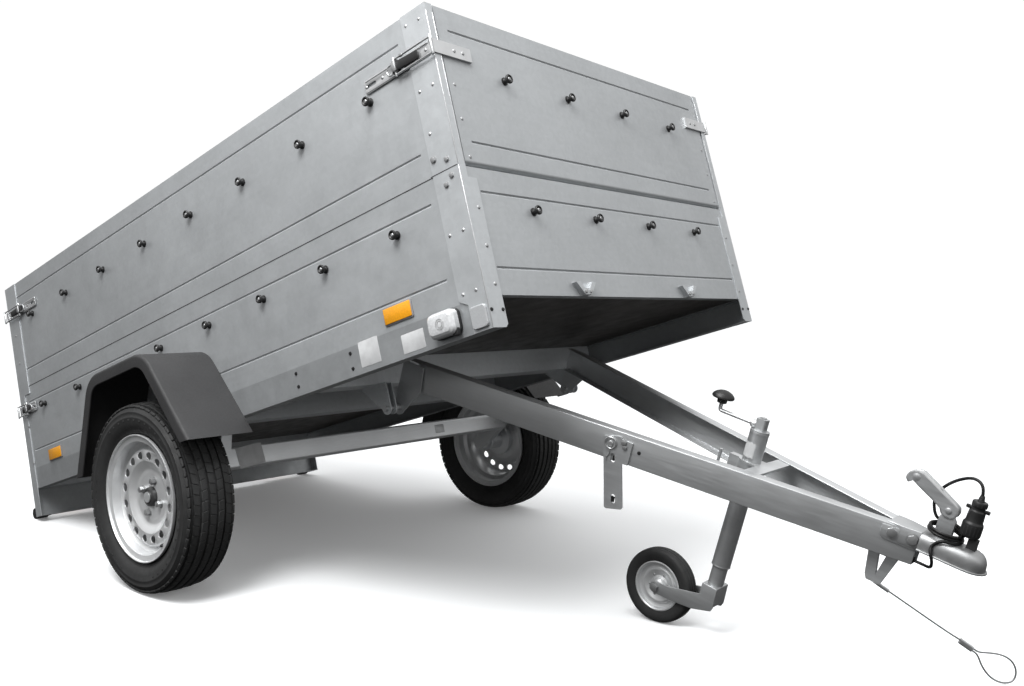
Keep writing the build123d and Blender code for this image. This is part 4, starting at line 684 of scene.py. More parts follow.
def rounded(width: float, height: float, radius: float, steps: int = 4, x: float = 0.0,
            y: float = 0.0) -> list[tuple[float, float]]:
    """The outline of a rectangle with round corners.

    Args:
        width: its width.
        height: its height.
        radius: the corners' radius.
        steps: points round each corner.
        x: the middle's x.
        y: the middle's y.

    Returns:
        The outline's points.
    """
    points = []
    for quarter, (side_x, side_y) in enumerate(((1, 1), (-1, 1), (-1, -1), (1, -1))):
        for step in range(steps + 1):
            a = math.radians(90.0 * quarter + 90.0 * step / steps)
            points.append((x + side_x * (width / 2 - radius) + radius * math.cos(a),
                           y + side_y * (height / 2 - radius) + radius * math.sin(a)))
    return points


def circle(radius: float, x: float = 0.0, y: float = 0.0, steps: int = 20) -> list[tuple[float, float]]:
    """The outline of a circle."""
    turns = (math.tau * step / steps for step in range(steps))
    return [(x + radius * math.cos(a), y + radius * math.sin(a)) for a in turns]


def route_curve(name: str, points: Sequence[Point], radius: float = 0.0, sides: int = 4,
                closed: bool = False) -> bpy.types.Object:
    """A smooth curve with the points as its control points.

    Args:
        name: the curve's name.
        points: its control points.
        radius: the bevel's radius, or 0 for a line without thickness.
        sides: the bevel's resolution.
        closed: whether it is a ring.

    Returns:
        The curve's object, not yet linked.
    """
    curve = bpy.data.curves.new(name, "CURVE")
    curve.dimensions = "3D"
    curve.bevel_depth, curve.bevel_resolution = float(radius > 0.0), sides
    curve.use_fill_caps = radius > 0.0
    spline = curve.splines.new("NURBS")
    spline.points.add(len(points) - 1)
    for point, place in zip(spline.points, points):
        point.co = (*place, 1.0)
        point.radius = radius
    spline.order_u = 3
    spline.use_endpoint_u = not closed
    spline.use_cyclic_u = closed
    spline.resolution_u = 6
    return bpy.data.objects.new(name, curve)


def bent_rod(points: Sequence[Point], radius: float, closed: bool = False) -> bmesh.types.BMesh:
    """A bent rod along a smooth route.

    Args:
        points: the route's control points.
        radius: the rod's radius.
        closed: whether it is a ring.

    Returns:
        The form.
    """
    holder = route_curve("rod", points, radius, 3, closed)
    mesh = bpy.data.meshes.new_from_object(holder)
    form = bmesh.new()
    form.from_mesh(mesh)
    curve = holder.data
    bpy.data.objects.remove(holder)
    bpy.data.curves.remove(curve)
    bpy.data.meshes.remove(mesh)
    bmesh.ops.remove_doubles(form, verts=form.verts, dist=1e-4)
    bmesh.ops.recalc_face_normals(form, faces=form.faces)
    return form


def bolt(radius: float, height: float) -> bmesh.types.BMesh:
    """A hexagon head on its washer, standing on Z = 0."""
    form = turned(((0.0, 0.0), (1.45 * radius, 0.0), (1.45 * radius, 0.12 * height),
                   (1.2 * radius, 0.18 * height), (0.0, 0.18 * height)), 20)
    join(form, bar(1.15 * radius, height, 6, 0.08 * radius), Matrix.Identity(4))
    return form


def rivet(radius: float, height: float) -> bmesh.types.BMesh:
    """A domed head standing on Z = 0."""
    return turned(((0.0, 0.0), (radius, 0.0), (radius, 0.2 * height), (0.8 * radius, 0.65 * height),
                   (0.45 * radius, 0.93 * height), (0.0, height)), 16)


def join(target: bmesh.types.BMesh, form: bmesh.types.BMesh, place: Matrix) -> None:
    """Put a form into another one, and let it go."""
    bmesh.ops.transform(form, matrix=place, verts=form.verts)
    if place.determinant() < 0:
        bmesh.ops.reverse_faces(form, faces=form.faces)
    mesh = bpy.data.meshes.new("joined")
    form.to_mesh(mesh)
    form.free()
    target.from_mesh(mesh)
    bpy.data.meshes.remove(mesh)


class Workpiece:
    """One piece under way: forms laid out in a lay's millimetres, each with its finish."""

    def __init__(self, name: str, body: str, lay: Lay, *finishes: Finish, crease: float = 32.0) -> None:
        """Start an empty piece.

        Args:
            name: the piece's name.
            body: the body that it rides on.
            lay: the lay that it is drawn on.
            finishes: its finishes, by slot.
            crease: edges sharper than this many degrees stay sharp.
        """
        self.name, self.body, self.lay, self.finishes, self.crease = name, body, lay, finishes, crease
        self.mesh = bmesh.new()

    def add(self, form: bmesh.types.BMesh, place: Matrix | None = None, slot: int = 0) -> None:
        """Put a form in place.

        Args:
            form: the form, used up.
            place: where it goes on the lay.
            slot: which finish it has.
        """
        for face in form.faces:
            face.material_index = slot
        join(self.mesh, form, place or Matrix.Identity(4))

    def mirror(self) -> None:
        """Add the mirror image across the middle plane."""
        twin = self.mesh.copy()
        join(self.mesh, twin, Matrix.Diagonal((1.0, -1.0, 1.0, 1.0)))

    def make(self, slot: str, *replaced: str) -> bpy.types.Object:
        """Finish the piece.

        Args:
            slot: the record's material slot; not used.
            replaced: the nodes that it stands for.

        Returns:
            The piece's object.
        """
        bmesh.ops.transform(self.mesh, matrix=self.lay.matrix(), verts=self.mesh.verts)
        data = bpy.data.meshes.new(self.name)
        self.mesh.to_mesh(data)
        self.mesh.free()
        for finish in self.finishes:
            data.materials.append(finish.material())
        data.shade_smooth()
        data.set_sharp_from_angle(angle=math.radians(self.crease))
        piece = bpy.data.objects.new(self.name, data)
        bpy.context.collection.objects.link(piece)
        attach(piece, self.body)
        if replaced:
            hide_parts(*replaced)
        LOG.info("%s: %d faces", self.name, len(data.polygons))
        return piece


# ---------------------------------------------------------------- cords
def run_length(holder: bpy.types.Object) -> float:
    """The length of a curve object's own line."""
    bevel, holder.data.bevel_depth = holder.data.bevel_depth, 0.0
    mesh = bpy.data.meshes.new_from_object(holder)
    holder.data.bevel_depth = bevel
    ends = ([mesh.vertices[index].co for index in edge.vertices] for edge in mesh.edges)
    total = sum((first - last).length for first, last in ends)
    bpy.data.meshes.remove(mesh)
    return total


def lay_cord(name: str, points: Sequence[Point], radius: float, body: str, finish: Finish) -> bpy.types.Object:
    """Lay a cord along its route.

    Args:
        name: the cord's name.
        points: the route's control points, in metres.
        radius: its radius in metres.
        body: the body that it rides on.
        finish: its finish.

    Returns:
        The cord's object.
    """
    cord = route_curve(name, points, radius, 4)
    cord.data.materials.append(finish.material())
    bpy.context.collection.objects.link(cord)
    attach(cord, body)
    return cord


@dataclass
class ElectricCable:
    """The seven-core cable: out of its grommet, up past the handle, round in a coil and over to the plug."""

    radius: float = 3.5
    rise: tuple[Point, ...] = ((1288.0, -11.0, 73.5), (1310.4, -11.0, 73.5), (1329.1, -26.7, 78.1),
                               (1330.5, -42.1, 97.6), (1322.0, -44.3, 113.9), (1316.0, -35.0, 127.2))
    arch: tuple[Point, ...] = ((1290.0, 15.0, 191.0), (1280.0, 22.0, 216.0), (1289.0, 25.0, 247.0),
                               (1315.0, 20.0, 277.0), (1348.0, 10.7, 297.0), (1375.0, 0.0, 284.0),
                               (1375.0, 0.0, 254.0))
    coil_middle: float = 1330.0
    coil_start: float = -111.8
    coil_sweep: float = 981.7
    coil_radius: float = 37.4
    coil_foot: float = 152.4
    turn_rise: float = 7.4
    turn_points: int = 14

    def coil(self) -> list[Point]:
        """The coil's control points, each turn a little smaller and higher than the last."""
        steps = round(self.coil_sweep / 360.0 * self.turn_points)
        points = []
        for step in range(1, steps + 1):
            swept = self.coil_sweep * step / steps
            angle = math.radians(self.coil_start + swept)
            turns = swept / 360.0
            reach = self.coil_radius - 0.9 * turns + 1.5 * math.sin(0.7 * angle)
            height = self.coil_foot + self.turn_rise * turns + 5.0 * math.cos(angle - math.radians(120.0))
            points.append((self.coil_middle + reach * math.cos(angle), reach * math.sin(angle), height))
        return points

    def build(self) -> bpy.types.Object:
        route = [tuple(BAR.at(*point)) for point in (*self.rise, *self.coil(), *self.arch)]
        cord = lay_cord("cable_sevencore", route, self.radius * MM, "drawbar", CABLE_SHEATH)
        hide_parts("electric_cable", "cable_coil")
        length = run_length(cord)
        LOG.info("cable_sevencore: %.3f m", length)
        return cord


@dataclass
class SafetyCable:
    """The breakaway wire: from its crimp at the hook straight down to a crimped eye on the floor."""

    radius: float = 2.0
    hook: tuple[float, float, float] = (1225.5, 0.0, -16.0)
    heading: float = 34.5
    crimp: tuple[float, float] = (191.3, 97.9)
    crimp_length: float = 34.0
    eye: tuple[tuple[float, float], ...] = ((257.0, 73.0), (286.0, 70.0), (309.0, 57.0), (320.0, 33.0),
                                            (314.0, 8.5), (292.0, 3.2), (270.0, 10.0), (252.0, 26.0),
                                            (239.5, 47.0))
    strand_offset: float = 2.6
    strand_lead: float = 16.0

    def ahead(self, reach: float, height: float) -> Vector:
        """A point in the wire's upright plane, in metres."""
        turn = math.radians(self.heading)
        start = BAR.at(*self.hook)
        return Vector((start.x + reach * MM * math.cos(turn), reach * MM * math.sin(turn), height * MM))

    def build(self) -> bpy.types.Object:
        start, grip = BAR.at(*self.hook), self.ahead(*self.crimp)
        way = (grip - start).normalized()
        side = way.cross(Vector((0, 0, 1))).normalized().cross(way)
        out, back = (grip + way * self.crimp_length * MM + side * offset * MM
                     for offset in (self.strand_offset, -self.strand_offset))
        route = [start, start + way * 0.05, grip - way * 0.03, out - way * 0.03, out,
                 out + way * self.strand_lead * MM, *(self.ahead(*place) for place in self.eye),
                 back + way * self.strand_lead * MM, back, back - way * 0.03]
        cord = lay_cord("safety_wire", [tuple(point) for point in route], self.radius * MM, "drawbar",
                        WIRE_STEEL)
        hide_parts("safety_cable")
        length = run_length(cord)
        LOG.info("safety_wire: %.3f m", length)
        return cord


# ---------------------------------------------------------------- road wheels
WHEEL_LAY = (-1263.0, -162.5)
ACROSS = Matrix.Rotation(math.radians(-90.0), 4, "X")


@dataclass
class RoadWheel:
    """A treaded tyre on a pressed steel wheel, drawn with Z along its axle and turned into place."""

    side: Side
    outset: float = 753.0
    radius: float = 273.0
    half_width: float = 77.0
    lip: float = 183.2
    tread_depth: float = 6.5
    pitches: int = 60
    # Middle, width, skew and shift round the wheel of each row of blocks
    ribs: tuple[tuple[float, float, float, float], ...] = (
        (-49.0, 17.0, 0.35, 0.0), (-25.0, 17.0, -0.3, 0.5), (0.0, 18.0, 0.22, 0.2),
        (25.0, 17.0, -0.3, 0.7), (49.0, 17.0, 0.35, 0.35))
    block_gap: float = 2.6
    bar_places: int = 48
    bolt_count: int = 4
    bolt_circle: float = 49.0
    valve_circle: float = 154.0
    valve_turn: float = 62.0

    def place(self, turn: float = 0.0) -> Matrix:
        """The wheel's place on the bed's lay, its Z outboard."""
        outboard = ACROSS if self.side is Side.LEFT else ACROSS @ Matrix.Rotation(math.pi, 4, "X")
        middle = at(WHEEL_LAY[0], self.side.value * self.outset, WHEEL_LAY[1])
        return middle @ outboard @ Matrix.Rotation(turn, 4, "Z")

    def crown(self, across: float) -> float:
        """The tread's radius at a distance from its middle."""
        return self.radius - 5.5 * (abs(across) / 60.0) ** 2.4

    def carcass(self) -> bmesh.types.BMesh:
        """The casing: grooved crown, shoulders, ringed sidewalls and beads."""
        half, lip, deep = self.half_width, self.lip, self.tread_depth
        crown = []
        for middle, width, _, _ in self.ribs:
            first, last = middle - width / 2, middle + width / 2
            top = self.crown(middle) - 1.6
            crown += [(self.crown(first) - deep, first - 3.2), (self.crown(first) - deep, first + 1.0),
                      (top, first + 1.2), (top, last - 1.2), (self.crown(last) - deep, last - 1.0)]
        crown.append((self.crown(60.0) - deep, 60.0))
        bead = ((-1.0, 52.0), (1.5, 57.0), (6.0, 60.5), (9.0, 61.0), (10.0, 62.6), (13.0, 63.6), (14.5, 65.2),
                (22.0, 69.5), (24.0, 70.8))
        flank = ((34.0, 2.2), (46.0, 0.4), (47.0, 0.0), (50.0, 0.0), (51.0, 0.6), (60.0, 1.4), (62.0, 0.6),
                 (64.0, 0.7), (65.0, 2.0))
        wall = [(lip + out, across) for out, across in bead] + [(lip + out, half - dip) for out, dip in flank]
        wall += [(self.crown(66.0) - deep - 2.0, 70.0), (self.crown(63.0) - deep + 0.5, 64.0)]
        profile = [(r, -z) for r, z in wall] + crown + list(reversed(wall))
        profile += [(lip - 14.0, 50.0), (lip - 14.0, -50.0)]
        return ring_of(profile, 120)

    def blocks(self, piece: Workpiece) -> None:
        """Set the tread blocks and the shoulder lugs, one pitch after another."""
        length = math.tau * self.radius / self.pitches - self.block_gap
        for index in range(self.pitches):
            angle = math.tau * index / self.pitches
            for middle, width, lean, shift in self.ribs:
                skew = Matrix.Identity(4)
                skew[1][2] = lean
                seat = at(self.crown(middle) - 3.5, 0, middle) @ skew
                piece.add(block((7.0, length, width), 0.7, 1),
                          self.place(angle + math.tau / self.pitches * shift) @ seat)
            for sign in (-1, 1):
                tilt = Matrix.Rotation(sign * math.radians(40.0), 4, "Y")
                seat = at(self.crown(62.0) - 7.6, 0, sign * 64.6) @ tilt
                piece.add(block((8.0, length - 1.2, 15.0), 1.4, 1), self.place(angle + 0.02 * sign) @ seat)

    def sidewall_marks(self, piece: Workpiece) -> None:
        """Raise plain moulded bars round the sidewall, with no lettering."""
        seat = at(self.lip + 42.0, 0, self.half_width - 0.9) @ Matrix.Rotation(math.radians(8), 4, "Y")
        for index in range(self.bar_places):
            if index % 16 >= 5:
                turn = math.tau * index / self.bar_places
                piece.add(block((5.0, 7.5, 1.2), 0.3, 1), self.place(turn) @ seat)

    def fittings(self) -> None:
        """Fit the wheel bolts and the valve."""
        name = self.side.name.lower()
        piece = Workpiece(f"wheel_bolts_{name}", f"wheel_{name}", BED, BOLT_ZINC, BLACK_RUBBER)
        for index in range(self.bolt_count):
            place = self.place(math.tau * (index + 0.5) / self.bolt_count + 0.2)
            piece.add(turned(((0, 0), (14.5, 0), (14.5, 1.2), (10.5, 4.5), (0, 4.5)), 20),
                      place @ at(self.bolt_circle, 0, 22.2))
            piece.add(bar(9.4, 13.0, 6, 0.9), place @ at(self.bolt_circle, 0, 25.5))
        stem = turned(((0, 0), (5.5, 0), (5.0, 10), (3.6, 14), (3.6, 30), (4.2, 31), (4.2, 40), (3.4, 42),
                       (0, 42)), 16)
        place = self.place(math.radians(self.side.value * self.valve_turn)) @ at(self.valve_circle, 0, 24.0)
        piece.add(stem, place @ Matrix.Rotation(math.radians(12.0), 4, "Y"), 1)
        piece.make("hub_metal")

    def build(self) -> None:
        """Build the tyre and the wheel's fittings."""
        name = self.side.name.lower()
        tyre = Workpiece(f"tyre_tread_{name}", f"wheel_{name}", BED, TYRE_SKIN, crease=38.0)
        tyre.add(self.carcass(), self.place())
        self.blocks(tyre)
        self.sidewall_marks(tyre)
        tyre.make("tyre", f"tyre_{name}")
        self.fittings()


@dataclass
class RimFace:
    """A pressed steel wheel: stepped barrel, dished middle and a ring of oval vents."""

    side: Side
    gauge: float = 3.5
    vents: int = 16
    vent_circle: float = 120.5
    vent_radial: float = 10.5
    vent_tangential: float = 13.0
    crest: float = 43.0
    crest_inner: float = 103.0
    crest_outer: float = 137.5
    dome: float = 5.0
    sides: int = 96

    def barrel(self) -> bmesh.types.BMesh:
        """The rim's stepped barrel and its two flanges."""
        outer = [(182.5, 68.0), (181.5, 58.0), (165.0, 57.0), (163.0, 30.0), (148.0, 20.0), (148.0, -22.0),
                 (163.0, -34.0), (165.0, -57.0), (181.5, -58.0), (182.5, -68.0)]
        inner = [(179.0, -68.0), (178.0, -60.5), (161.5, -60.5), (159.5, -34.0), (144.5, -25.5),
                 (144.5, 23.5), (159.5, 33.5), (161.5, 60.5), (178.0, 61.5), (179.0, 68.0)]
        form = ring_of(outer + inner, self.sides)
        soften(form, keen(form, 0.5), 1.5, clamp=True)
        return form

    def vent(self, turn: float) -> list[tuple[float, float]]:
        """The outline of the oval vent at an angle round the wheel."""
        points = []
        for step in range(20):
            angle = math.tau * step / 20
            out, along = self.vent_radial * math.cos(angle), self.vent_tangential * math.sin(angle)
            points.append(((self.vent_circle + out) * math.cos(turn) - along * math.sin(turn),
                           (self.vent_circle + out) * math.sin(turn) + along * math.cos(turn)))
        return points

    def vent_ring(self) -> bmesh.types.BMesh:
        """The crest of the disc, pierced by its vents and domed."""
        holes = [circle(self.crest_inner, steps=self.sides)]
        holes += [self.vent(math.tau * index / self.vents) for index in range(self.vents)]
        form = plate(circle(self.crest_outer, steps=self.sides), self.gauge, holes, edge=1.1)
        for vert in form.verts:
            across = (vert.co.xy.length - self.vent_circle) / (self.crest_outer - self.vent_circle)
            vert.co.z += self.crest - self.gauge - self.dome * across * across
        return form

    def build(self) -> None:
        """Build the wheel and hide the plain one."""
        name, gauge = self.side.name.lower(), self.gauge
        place = RoadWheel(self.side).place()
        piece = Workpiece(f"rim_dressed_{name}", f"wheel_{name}", BED, WHEEL_SILVER, crease=35.0)
        low = self.crest - self.dome
        skirt = [(self.crest_outer - 1.0, low), (141.0, low - 4.0), (144.8, low - 14.0), (144.8, 12.0)]
        dish = [(self.crest_inner + 1.5, low + 0.2), (97.0, low - 2.6), (90.0, 31.0), (82.0, 26.6),
                (76.0, 25.4), (70.0, 26.2), (64.0, 25.6), (58.0, 25.0), (29.0, 25.0)]
        for line in (skirt, dish):
            piece.add(ring_of(line + [(r, z - gauge) for r, z in reversed(line)], self.sides), place)
        piece.add(self.barrel(), place)
        piece.add(self.vent_ring(), place)
        piece.make("rim_paint", f"rim_{name}")


@dataclass
class Fender:
    """A moulded mudguard: an arch with round corners and a lip down its outer edge."""

    side: Side
    middle: float = -1253.0
    foot: float = 320.0
    crown: float = 162.5
    top: float = 228.0
    bottom: float = -52.0
    wall: float = WALL_SKIN
    depth: float = 203.0
    gauge: float = 4.0
    lip: float = 36.0
    corner: float = 9.0
    bend: float = 96.0
    steps: int = 14

    def path(self) -> list[tuple[Vector, Vector]]:
        """Each place along the arch's outer line with its direction inward."""
        slope = (self.foot - self.crown) / (self.top - self.bottom)
        run = math.sqrt(1 + slope * slope)
        corners = [Vector((-self.foot, self.bottom)), Vector((-self.crown, self.top)),
                   Vector((self.crown, self.top)), Vector((self.foot, self.bottom))]
        line = [(corners[0], Vector((run, 0.0)))]
        for before, corner, after in zip(corners, corners[1:], corners[2:]):
            back, ahead = (before - corner).normalized(), (after - corner).normalized()
            half = back.angle(ahead) / 2
            hub = corner + (back + ahead).normalized() * self.bend / math.sin(half)
            first, last = (corner + way * self.bend / math.tan(half) for way in (back, ahead))
            turn = (first - hub).angle_signed(last - hub)
            for step in range(self.steps + 1):
                arm = first - hub
                arm.rotate(Matrix.Rotation(-turn * step / self.steps, 2))
                line.append((hub + arm, -arm.normalized()))
        line.append((corners[3], Vector((-run, 0.0))))
        return line

    def section(self) -> list[tuple[float, float]]:
        """The skin's section: distance inward and distance from the wall."""
        out, r, t = self.depth, self.corner, self.gauge
        arc, back = ([(r - reach * math.cos(a), out - r + reach * math.sin(a))
                      for a in (math.radians(15 * step) for step in range(7))] for reach in (r, r - t))
        return [(0.0, 0.0), *arc, (self.lip - 1.5, out), (self.lip, out - 1.2), (self.lip, out - t),
                *reversed(back), (t, 0.0)]

    def build(self) -> None:
        """Sweep the section along the arch and close its feet."""
        name = self.side.name.lower()
        piece = Workpiece(f"fender_dressed_{name}", "bed", BED, FENDER_PLASTIC, crease=38.0)
        form = bmesh.new()
        rings = []
        for place, inward in self.path():
            row = []
            for inset, out in self.section():
                spot = place + inward * inset
                across = self.side.value * (self.wall + out)
                row.append(form.verts.new((self.middle + spot.x, across, spot.y)))
            rings.append([form.edges.new(pair) for pair in zip(row, row[1:] + row[:1])])
        for first, second in zip(rings, rings[1:]):
            bmesh.ops.bridge_loops(form, edges=first + second)
        bmesh.ops.holes_fill(form, edges=rings[0] + rings[-1])
        bmesh.ops.recalc_face_normals(form, faces=form.faces)
        piece.add(form)
        piece.make("fender_plastic", f"fender_{name}")


@dataclass
class RopeKnobs:
    """Rows of mushroom knobs on the walls, each with a screw in its face."""

    spacing_side: float = 273.0
    first_side: float = 233.0
    spacing_end: float = 265.0
    reach: float = 20.0

    def knob(self, piece: Workpiece, place: Matrix) -> None:
        """One knob: foot washer, stem, head with a rolled rim, and its screw."""
        reach = self.reach
        foot = ((0, 0), (10.6, 0), (10.6, 2.2), (7.4, 3.4), (7.0, 4.4))
        head = ((7.0, 7.6), (9.0, 7.2), (11.4, 6.6), (12.0, 4.6), (11.9, 2.2), (10.9, 0.7), (9.2, 0.1),
                (7.6, 0.9), (5.4, 3.4), (0, 3.4))
        piece.add(turned([*foot, *((radius, reach - dip) for radius, dip in head)], 24), place)
        piece.add(turned(((0, 0), (4.7, 0), (4.7, 1.3), (3.6, 2.4), (1.6, 2.6), (1.5, 1.2), (0, 1.2)), 14),
                  place @ at(0, 0, reach - 3.5), 1)

    def row_side(self, piece: Workpiece, height: float) -> None:
        """A row of eight along both sides."""
        for index in range(8):
            for side in (-1, 1):
                spot = (-self.first_side - index * self.spacing_side, side * WALL_SKIN, height)
                self.knob(piece, facing(spot, (0, side, 0)))

    def row_end(self, piece: Workpiece, end: End, height: float) -> None:
        """A row of four across an end."""
        x = -3.0 if end is End.FRONT else 3.0 - BED_LENGTH
        for index in range(4):
            self.knob(piece, facing((x, (index - 1.5) * self.spacing_end, height), (end.value, 0, 0)))

    def build(self) -> None:
        """Build every row."""
        finishes = (BLACK_PLASTIC, BOLT_ZINC)
        bed = Workpiece("knobs_bed", "bed", BED, *finishes)
        self.row_side(bed, 288.0)
        self.row_side(bed, 626.0)
        self.row_end(bed, End.FRONT, 285.0)
        bed.make("black_plastic", "rope_knobs_bed")
        for body, end, height in (("extension_front", End.FRONT, 624.0), ("extension_rear", End.REAR, 624.0),
                                  ("tailgate", End.REAR, 285.0)):
            piece = Workpiece(f"knobs_{body}", body, BED, *finishes)
            self.row_end(piece, end, height)
            piece.make("black_plastic", f"rope_knobs_{body}")


# ---------------------------------------------------------------- seats on the frame
SIDEWAYS = Matrix(((1, 0, 0, 0), (0, 0, -1, 0), (0, 1, 0, 0), (0, 0, 0, 1)))


class Seats:
    """Finds where a fastener sits on a node of the frame."""

    def __init__(self) -> None:
        """Start with no node looked up."""
        self.trees: dict[str, BVHTree] = {}

    def tree(self, node: str) -> BVHTree:
        """The search tree of a node, made on first use."""
        if node not in self.trees:
            data = frame["nodes"][node].data
            corners = [vert.co.copy() for vert in data.vertices]
            self.trees[node] = BVHTree.FromPolygons(corners, [list(face.vertices) for face in data.polygons])
        return self.trees[node]

    def seat(self, node: str, lay: Lay, start: Point, heading: Point, sink: float = 0.3) -> Matrix:
        """The place on a node's skin that a line from start first meets.

        Args:
            node: the node's name, or several joined by +.
            lay: the lay of start and heading.
            start: where the line starts.
            heading: which way it runs.
            sink: how far the seat lies under the skin.

        Returns:
            A place on the lay whose Z is the skin's outward normal.
        """
        matrix = lay.matrix()
        back = matrix.inverted()
        way = (matrix.to_3x3() @ Vector(heading)).normalized()
        found = [self.tree(name).ray_cast(matrix @ Vector(start), way) for name in node.split("+")]
        struck = [(reach, hit, normal) for hit, normal, _, reach in found if hit is not None]
        if not struck:
            raise ValueError(f"no skin of {node} ahead of {start}")
        _, hit, normal = min(struck, key=lambda item: item[0])
        outward = (back.to_3x3() @ normal).normalized()
        if outward.dot(Vector(heading)) > 0:
            outward = -outward
        up = (1.0, 0.0, 0.0) if abs(outward.z) > 0.9 else (0.0, 0.0, 1.0)
        return facing(back @ hit - outward * sink, outward, up)


SEATS = Seats()


class Head(Enum):
    """A fastener's head."""

    HEXAGON = "hexagon"
    RIVET = "rivet"
    COUNTERSUNK = "countersunk"


@dataclass(frozen=True)
class Fastener:
    """One fastener: where it is driven, and its head."""

    node: str
    start: tuple[float, float, float]
    heading: tuple[float, float, float]
    head: Head = Head.HEXAGON
    radius: float = 7.0
    height: float = 6.0
    dark: bool = False

    def form(self) -> bmesh.types.BMesh:
        """The head's form, standing on Z = 0."""
        if self.head is Head.HEXAGON:
            return bolt(self.radius, self.height)
        if self.head is Head.RIVET:
            return rivet(self.radius, self.height)
        return turned(((0, 0), (self.radius, 0), (self.radius, 0.6), (0.8 * self.radius, self.height),
                       (0.3 * self.radius, self.height), (0.2 * self.radius, 0.5), (0, 0.5)), 14)


CLEAR_OF_SIDE = -1200.0
CLEAR_OF_FRONT = 300.0


def near(node: str, places: Sequence[tuple[float, float]], head: Head = Head.RIVET, radius: float = 4.5,
         height: float = 2.2, dark: bool = False) -> list[Fastener]:
    """Fasteners driven from the right side, at each x and z."""
    return [Fastener(node, (x, CLEAR_OF_SIDE, z), (0, 1, 0), head, radius, height, dark) for x, z in places]


def ahead_of(node: str, places: Sequence[tuple[float, float]], head: Head = Head.RIVET, radius: float = 4.5,
             height: float = 2.2, dark: bool = False, x: float = CLEAR_OF_FRONT) -> list[Fastener]:
    """Fasteners driven from the front, at each y and z."""
    return [Fastener(node, (x, y, z), (-1, 0, 0), head, radius, height, dark) for y, z in places]


def other_side(vector: Point) -> tuple[float, float, float]:
    """A vector's mirror image across the middle plane."""
    return (vector[0], -vector[1], vector[2])


@dataclass
class FastenerSet:
    """The fasteners of one body."""

    name: str
    body: str
    lay: Lay
    fasteners: Sequence[Fastener]
    mirrored: Sequence[Fastener] = ()

    def build(self) -> None:
        """Seat every fastener."""
        piece = Workpiece(self.name, self.body, self.lay, BOLT_ZINC, BLACK_PLASTIC)
        twins = [replace(item, node=item.node.replace("_right", "_left"), start=other_side(item.start),
                         heading=other_side(item.heading)) for item in self.mirrored]
        for item in (*self.fasteners, *self.mirrored, *twins):
            piece.add(item.form(), SEATS.seat(item.node, self.lay, item.start, item.heading), int(item.dark))
        piece.make("zinc")


